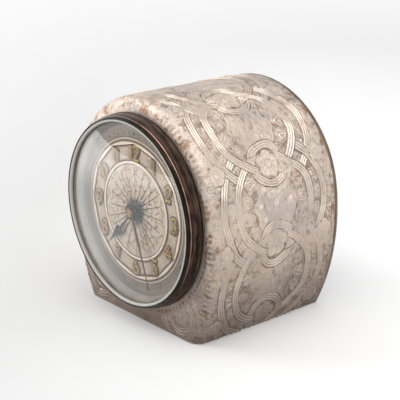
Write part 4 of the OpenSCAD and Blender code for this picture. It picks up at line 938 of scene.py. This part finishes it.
class CLOCK_OT_dial(ClockOperator, bpy.types.Operator):
    """Makes the dial with its rings, numerals, dots and fine lines"""
    bl_idname = "clock.dial"
    bl_label = "Dial"

    def execute(self, context):
        dial = context.scene.clock_dial
        self.make_plate(dial)
        self.make_numerals(dial)
        self.make_star()
        self.make_lines(dial)
        return {"FINISHED"}

    def make_plate(self, dial):
        """The dial as rings of points: radius, height over its face, and painted brown shade (below 0,
        paler).

        The outer raised ring's inner edge has twelve sides. Painted shade lines the rings' feet, and between
        the two raised rings it is a bell curve about each hour, stronger along both edges."""
        steps, hole_r, rim_r = 720, 3.0, 42.95
        angle = np.arange(steps) * TURN / steps
        inner, outer = dial.inner_ring_r * MM, dial.outer_ring_r * MM
        sides, thick, sunk, top = twelve_sided(angle, outer - 0.8), 0.5, -0.12, dial.ring_h * MM
        # The third value of each row is painted shade
        rows = [(hole_r, -thick, 0), (hole_r, 0, 0), (9.0, 0, 0), (15.0, 0, 0), (inner - 2.0, 0, 0),
                (inner - 1.7, -0.02, 1.0), (inner - 1.45, 0.02, 0.9), (inner - 1.25, top, -0.5),
                (inner - 0.3, top, -0.5), (inner - 0.05, 0.1, 1.1), (inner + 0.2, sunk, 1.3)]
        # Painted shade in the channel: round each numeral where its shadow falls, and dark along both edges
        for share in np.linspace(0, 1, 14):
            r = inner + 0.5 + (sides - inner - 1.0) * share
            near = np.exp(-(from_nearest(angle, TURN / 12) * r / 3.9) ** 2 - ((share - 0.5) / 0.42) ** 4)
            edge = max(0.0, 1 - min(share, 1 - share) * 6)
            rows.append((r, sunk, np.maximum(0.06 + 0.66 * near, 1.1 * edge)))
        rows += [(sides - 0.1, sunk, 1.3), (sides, 0.1, 1.1), (sides + 0.2, top, -0.5),
                 (outer - 0.3, top, -0.5), (outer - 0.05, 0.05, 1.0), (outer + 0.2, 0, 1.3),
                 (outer + 0.55, 0, 1.1), (outer + 0.8, 0, 0), (outer + 1.2, 0.06, -0.3),
                 (outer + 1.6, 0.06, -0.3), (outer + 1.8, 0, 0.9), (outer + 2.2, 0, 0.3),
                 (rim_r, 0, 0), (rim_r, -thick, 0)]
        r, over, shade = (np.stack([row[k] * np.ones(steps) for row in rows]) for k in range(3))
        shape = (clock_to_row(r * np.sin(angle), r * np.cos(angle), FACE + over).reshape(-1, 3),
                 [grid_faces(len(rows), steps, wrap_rows=True, wrap_cols=True)])
        make_piece("dial_face", shape, "dial_cream", ["dial_plate"], sharp=30, values={"sunk": shade.ravel()})

    def make_numerals(self, dial):
        """Each numeral as gilt strokes over wider dark ones, shifted right and down, which are an outline and
        a painted shadow.
        """
        tall, narrow, wide = dial.numeral_h * MM, 0.34, 0.62
        gilt, dark = [], []
        for hour in range(1, 13):
            widths = [narrow if figure == "1" else wide for figure in str(hour)]
            left = -sum(widths) / 2
            for figure, width in zip(str(hour), widths):
                at = np.array([left + width / 2, -0.5]) * tall + towards(hour / 12) * dial.numeral_r * MM
                left += width
                for stroke in figure_strokes(figure):
                    path = stroke * tall + at
                    gilt.append(ribbon(path, 0.82, 0.5))
                    # Dark strokes shifted right and down: an outline that is also a painted shadow
                    dark.append(ribbon(path + np.array([0.2, -0.12]), 1.6, 0.32, base=FACE - 0.12))
        make_piece("dial_numerals", join(gilt), "dial_cream", finish="numeral_gilt", sharp=50)
        make_piece("numeral_outlines_and_shadows", join(dark), "dial_cream", finish="dial_ink_and_shadow", sharp=50)

    def make_star(self):
        """The dark centre: a ring feathered by short tapering rays, printed, and large and dark enough to be
        also a painted shadow of the hands' hub.
        """
        rays = [turned([(3.0, FACE + 0.02), (4.7, FACE + 0.05), (5.2, FACE - 0.01)], 72)]
        for number in range(72):
            out = towards((number + 0.4 * math.sin(number * 7.3)) / 72)
            far = 6.3 + 2.6 * math.sin(number * 2.7) ** 4 + 1.0 * math.sin(number * 1.3) ** 2
            rays.append(ribbon(out * np.linspace(4.4, far, 5)[:, None], 0.34, 0.06, 0.85, 4))
        make_piece("dial_centre_rays_and_shadow", join(rays), "dial_cream", finish="centre_ink_and_shadow", sharp=60)

    def make_lines(self, dial):
        """Minute dots, thin circles, uneven rays and a web of short bent lines. Sine waves swing them."""
        parts = []
        low, high = FACE - 0.01, 0.16
        for minute in range(60):
            radius = 0.85 if minute % 5 == 0 else 0.5
            dot = [(radius, low), (radius * 0.87, low + high * 0.5), (radius * 0.4, low + high)]
            parts.append(turned(dot, 8, towards(minute / 60) * dial.dot_r * MM, closed=False))
        for r in (35.6, 37.0):
            parts.append(turned([(r - 0.12, FACE), (r, FACE + 0.06), (r + 0.12, FACE)]))
        for number in range(24):
            out = towards((number + 0.36 * math.sin(number * 7.3)) / 24)
            path = out * np.linspace(4.2, 22.9 - 3 * math.sin(number * 2.9) ** 4, 6)[:, None]
            parts.append(ribbon(path, 0.31, 0.06, 0.4, 4))
        t = np.linspace(0, 1, 8)
        for number in range(24):
            for step in range(4):
                bend = number * 1.9 + step * 2.3
                angle = TURN * (number + 0.2 * math.sin(bend) + t * (0.7 + 0.4 * math.sin(bend * 1.7))) / 24
                middle_r = 10.6 + 3.4 * step + 1.2 * math.sin(bend * 3.1)
                r = middle_r + 1.5 * math.sin(bend * 2.1) * (t - 0.5) * 2 + 0.5 * np.sin(t * 9 + bend)
                path = np.stack([r * np.sin(angle), r * np.cos(angle)], -1)
                parts.append(ribbon(path, 0.27, 0.05, 0.5, 4))
        make_piece("dial_lines", join(parts), "dial_cream", finish="dial_ink_and_shadow", sharp=60)


def figure_strokes(figure):
    """Centre lines of a figure one unit tall on its own middle: straight runs and arcs of ellipses."""
    def line(*ends):
        ends = np.array(ends, float).reshape(-1, 2)
        t = np.linspace(0, len(ends) - 1, 9 * (len(ends) - 1) + 1)
        return np.stack([np.interp(t, np.arange(len(ends)), ends[:, k]) for k in (0, 1)], -1)

    def arc(x, y, rx, ry, start, end):
        angle = np.radians(np.linspace(start, end, 24))
        return np.stack([x + rx * np.cos(angle), y + ry * np.sin(angle)], -1)

    return {
        "0": [arc(0, 0.5, 0.25, 0.46, 0, 360)],
        "1": [line(-0.16, 0.8, 0.0, 0.98), line(0.0, 0.98, 0.0, 0.02)],
        "2": [arc(0, 0.72, 0.24, 0.25, 165, -40), line(0.18, 0.56, -0.24, 0.05),
              line(-0.26, 0.04, 0.28, 0.04)],
        "3": [arc(-0.02, 0.75, 0.22, 0.22, 150, -85), arc(-0.02, 0.28, 0.26, 0.25, 88, -150)],
        "4": [line(0.1, 0.98, -0.28, 0.3), line(-0.28, 0.3, 0.3, 0.3), line(0.12, 0.66, 0.12, 0.02)],
        "5": [line(-0.16, 0.95, 0.24, 0.95), line(-0.16, 0.95, -0.18, 0.56),
              arc(-0.02, 0.32, 0.25, 0.29, 125, -150)],
        "6": [arc(0, 0.29, 0.23, 0.26, 0, 360), arc(0.22, 0.32, 0.45, 0.64, 105, 180)],
        "7": [line(-0.24, 0.93, 0.26, 0.93), arc(0.42, 0.02, 0.42, 0.9, 112, 178)],
        "8": [arc(0, 0.74, 0.19, 0.21, 0, 360), arc(0, 0.27, 0.24, 0.25, 0, 360)],
        "9": [arc(0, 0.71, 0.23, 0.26, 0, 360), arc(-0.22, 0.68, 0.45, 0.64, -75, 0)],
    }[figure]


def smoothed_copy(node):
    """Points and faces of a CAD node, with its loose triangles merged."""
    source = frame["nodes"][node].data
    # Points closer than a tenth of a micrometre are one
    fine = 1e7
    spots = np.empty(len(source.vertices) * 3, np.float32)
    source.vertices.foreach_get("co", spots)
    keys = np.round(spots.reshape(-1, 3) * fine).astype(np.int64)
    keys, first = np.unique(keys, axis=0, return_inverse=True)
    corners = np.empty(len(source.loops), np.int32)
    source.loops.foreach_get("vertex_index", corners)
    triangles = first.ravel()[corners].reshape(-1, 3)
    sound = (triangles != np.roll(triangles, 1, axis=1)).all(axis=1)
    return keys / fine * MM, [triangles[sound]]


class CLOCK_OT_rear(ClockOperator, bpy.types.Operator):
    """Smooths the rim, cover, screws, inlet, knob and base that show from behind and below"""
    bl_idname = "clock.rear"
    bl_label = "Rear and base"

    def execute(self, context):
        slots = {subpart["node"]: subpart["material_slot"] for subpart in frame["record"]["subparts"]}
        shown = {"rear_rim": "rim_rolled", "rear_cover": "cover_sheet",
                 "rear_cover_screws": "cover_screws_cut", "cord_grommet": "inlet_bush",
                 "set_knob": "knob_moulded", "base_plate": "base_sheet", "base_felt": "base_pad",
                 "base_screws": "base_screws_cut"}
        for node, name in shown.items():
            body = "setting" if node == "set_knob" else "movement_and_case"
            make_piece(name, smoothed_copy(node), slots[node], [node], body, sharp=30)
        return {"FINISHED"}


class CLOCK_OT_hands(ClockOperator, bpy.types.Operator):
    """Makes the spade hand, and smooths the long hand and the cap nut"""
    bl_idname = "clock.hands"
    bl_label = "Hands"

    def execute(self, context):
        self.make_spade_hand()
        for node, name, slot, finish in (("minute_hand", "minute_hand_blued", "blued_steel", None),
                                         ("hand_nut", "hand_nut_turned", "turned_brass", "cap_brass")):
            make_piece(name, smoothed_copy(node), slot, [node], "hands", finish, sharp=30)
        return {"FINISHED"}

    def make_spade_hand(self):
        """A thin stem, a head like an arrow's and a long point, on a collet that hides the pipe.

        Half its width is read off a row of radii. The plate's two faces and bevelled edges are one strip of
        eight points across, carried along the radius, and it rises a little from the collet to the head."""
        out = towards(223.33 / 360)
        side = np.array([out[1], -out[0]])
        outline = [(2.8, 0.55), (5.0, 0.45), (10.0, 0.42), (13.8, 0.42), (14.7, 0.7), (15.4, 1.6),
                   (16.2, 2.3), (17.1, 2.5), (18.2, 2.3), (19.6, 1.85), (21.3, 1.25), (23.0, 0.8),
                   (24.6, 0.5), (27.0, 0.34), (30.0, 0.1)]
        radii, halves = np.array(outline).T
        r = np.linspace(radii[0], radii[-1], 160)[:, None]
        half = np.interp(r, radii, halves)
        low, rise, thick, bevel = 2.4, 0.5, 0.35, 0.16
        base = low + rise * np.clip((r - 4) / 8, 0, 1)
        across = np.array([-1, -0.86, 0, 0.86, 1, 0.86, 0, -0.86])
        above = np.array([bevel, thick, thick, thick, bevel, 0.0, 0.0, 0.0])
        x = out[0] * r + side[0] * half * across
        y = out[1] * r + side[1] * half * across
        plate = clock_to_row(x, y, base + above).reshape(-1, 3), tube_faces(len(r), len(across))
        collet = turned([(1.95, 2.4), (3.4, 2.4), (3.4, 2.75), (3.0, 3.2), (2.5, 3.35), (1.95, 3.35)], 96)
        make_piece("hour_hand_blued", join([plate, collet]), "blued_steel", ["hour_hand"], "hour_motion",
                   sharp=30)


def seen_directly(tree):
    """1 for rays from the camera, from gloss and through glass, and 0 for those that only bring light."""
    path = add(tree, "ShaderNodeLightPath")
    seen = path.outputs["Is Camera Ray"]
    for kind in ("Is Glossy Ray", "Is Transmission Ray"):
        seen = maths(tree, "MAXIMUM", seen, path.outputs[kind])
    return seen


class CLOCK_OT_stage(ClockOperator, bpy.types.Operator):
    """Sets up the pale floor, the world, the lamps and the camera"""
    bl_idname = "clock.stage"
    bl_label = "Stage"

    def execute(self, context):
        scene, stage = context.scene, context.scene.clock_stage
        self.make_floor(scene)
        self.make_world(scene, stage)
        self.make_lamps(scene, stage)
        self.make_camera(scene, stage)
        scene.view_settings.view_transform = "Standard"
        return {"FINISHED"}

    def make_floor(self, scene):
        """A wide disc of matt white paint, with rings of points that stand closer towards the middle."""
        rings, steps, reach = 23, 96, 6.0
        r = np.linspace(0, 1, rings + 1)[1:, None] ** 2 * reach
        angle = np.arange(steps) * TURN / steps
        points = np.stack([r * np.cos(angle), r * np.sin(angle), 0 * r * angle], -1).reshape(-1, 3)
        faces = [tuple(face) for face in grid_faces(rings, steps, wrap_cols=True)] + [tuple(range(steps))]
        mesh = bpy.data.meshes.new("floor")
        mesh.from_pydata(points.tolist(), [], faces)
        mesh.materials.append(self.floor_paint())
        floor = bpy.data.objects.new("floor", mesh)
        scene.collection.objects.link(floor)

    def floor_paint(self):
        """White paint that keeps the clock's shadow. Rays that see it directly find it glowing besides.

        The glow grows with the distance from the clock, as a backdrop that fades to white. A weaker one
        lifts the shade on the near right. Gloss alone also finds two pale cards, near and far on the left,
        which the glass mirrors."""
        material = bpy.data.materials.new("matt_white_paint")
        material.use_nodes = True
        tree = material.node_tree
        tree.nodes.clear()
        paint = add(tree, "ShaderNodeBsdfDiffuse", {"Color": (0.77, 0.77, 0.77, 1.0)}).outputs[0]
        away = add(tree, "ShaderNodeVectorMath", {"operation": "LENGTH", 0: own_place(tree)}).outputs[1]
        near, far = spread(tree, away, 0.2, 1.0, 0.03, 0.35), spread(tree, away, 1.2, 3.0, 0.0, 0.2)
        across = along_axis(tree, 0)
        cards = spread(tree, across, 0.0, -0.08, 0.0, 0.45), spread(tree, across, -0.24, -0.45)
        gloss = add(tree, "ShaderNodeLightPath").outputs["Is Glossy Ray"]
        cards = maths(tree, "MULTIPLY", gloss, maths(tree, "ADD", *cards))
        to_right = {"operation": "DOT_PRODUCT", 0: own_place(tree), 1: (0.654, 0.757, 0)}
        to_right = add(tree, "ShaderNodeVectorMath", to_right).outputs[1]
        shade = maths(tree, "MULTIPLY", spread(tree, to_right, -0.1, 0.12, 0.0, 0.3),
                      spread(tree, away, 0.2, 0.7, 1.0, 0.0))
        strength = maths(tree, "ADD", maths(tree, "ADD", maths(tree, "ADD", near, far), cards), shade)
        strength = maths(tree, "MULTIPLY", strength, seen_directly(tree))
        glow = add(tree, "ShaderNodeEmission", {"Strength": strength})
        both = add(tree, "ShaderNodeAddShader", {0: paint, 1: glow.outputs[0]})
        add(tree, "ShaderNodeOutputMaterial", {"Surface": both.outputs[0]})
        return material

    def make_world(self, scene, stage):
        """Even light from all round, seen as near white by the camera, by metal and through glass."""
        scene.world = bpy.data.worlds.new("studio")
        scene.world.use_nodes = True
        tree = scene.world.node_tree
        tree.nodes.clear()
        strength = spread(tree, seen_directly(tree), 0.0, 1.0, stage.ambient, 0.95)
        back = add(tree, "ShaderNodeBackground", {"Color": "#ffffff", "Strength": strength})
        add(tree, "ShaderNodeOutputWorld", {"Surface": back.outputs[0]})

    def make_lamps(self, scene, stage):
        """Soft boxes on the left and overhead, and weaker ones on the right, in front and behind."""
        aim = Vector((0.0, 0.0, 0.05))
        for name, at, size, power in (
                ("key_box", (-0.9, -0.68, 0.78), (0.6, 0.6), stage.key),
                ("top_box", (0.15, -0.15, 1.0), (1.1, 0.9), stage.top),
                ("front_box", (0.6, -0.72, 0.62), (0.3, 0.3), stage.front),
                ("back_box", (0.95, 0.72, 0.45), (0.55, 0.5), stage.back)):
            lamp = bpy.data.lights.new(name, "AREA")
            lamp.shape, lamp.size, lamp.size_y, lamp.energy = "RECTANGLE", size[0], size[1], power
            box = bpy.data.objects.new(name, lamp)
            box.location = at
            box.rotation_euler = (Vector(at) - aim).to_track_quat("Z", "Y").to_euler()
            scene.collection.objects.link(box)

    def make_camera(self, scene, stage):
        """The camera on a sphere about its target, at the given azimuth and elevation."""
        lens = bpy.data.cameras.new("camera")
        lens.lens, lens.sensor_width = stage.lens, 36.0
        lens.clip_start, lens.clip_end = 0.01, 50.0
        camera = bpy.data.objects.new("camera", lens)
        level, up = math.cos(stage.elevation), math.sin(stage.elevation)
        out = Vector((math.sin(stage.azimuth) * level, -math.cos(stage.azimuth) * level, up))
        camera.location = Vector(stage.target) + out * stage.distance
        camera.rotation_euler = out.to_track_quat("Z", "Y").to_euler()
        scene.collection.objects.link(camera)
        scene.camera = camera


class CLOCK_PT_panel(bpy.types.Panel):
    """Lists the clock's operators and settings in the sidebar"""
    bl_idname = "CLOCK_PT_panel"
    bl_label = "Mantel clock"
    bl_space_type = "VIEW_3D"
    bl_region_type = "UI"
    bl_category = "Clock"

    def draw(self, context):
        for operator in OPERATORS:
            self.layout.operator(operator.bl_idname)
        for name, group in GROUPS.items():
            for key in group.__annotations__:
                self.layout.prop(getattr(context.scene, name), key)


GROUPS = {"clock_case": ClockCaseLook, "clock_dial": ClockDialLook,
          "clock_finish": ClockFinish, "clock_stage": ClockStage}
OPERATORS = (CLOCK_OT_stage, CLOCK_OT_finishes, CLOCK_OT_case, CLOCK_OT_bezel, CLOCK_OT_dial,
             CLOCK_OT_hands, CLOCK_OT_rear)


def register():
    """Registers the settings, the operators and the panel."""
    for name, group in GROUPS.items():
        bpy.utils.register_class(group)
        setattr(bpy.types.Scene, name, bpy.props.PointerProperty(type=group))
    for operator in OPERATORS + (CLOCK_PT_panel,):
        bpy.utils.register_class(operator)


def unregister():
    """Takes away what register added."""
    for operator in (CLOCK_PT_panel,) + OPERATORS[::-1]:
        bpy.utils.unregister_class(operator)
    for name, group in GROUPS.items():
        delattr(bpy.types.Scene, name)
        bpy.utils.unregister_class(group)


def main():
    """Makes the clock and its stage."""
    register()
    for operator in OPERATORS:
        group, name = operator.bl_idname.split(".")
        if getattr(getattr(bpy.ops, group), name)() != {"FINISHED"}:
            raise RuntimeError(f"{operator.bl_idname} didn't finish")


if __name__ == "__main__":
    main()
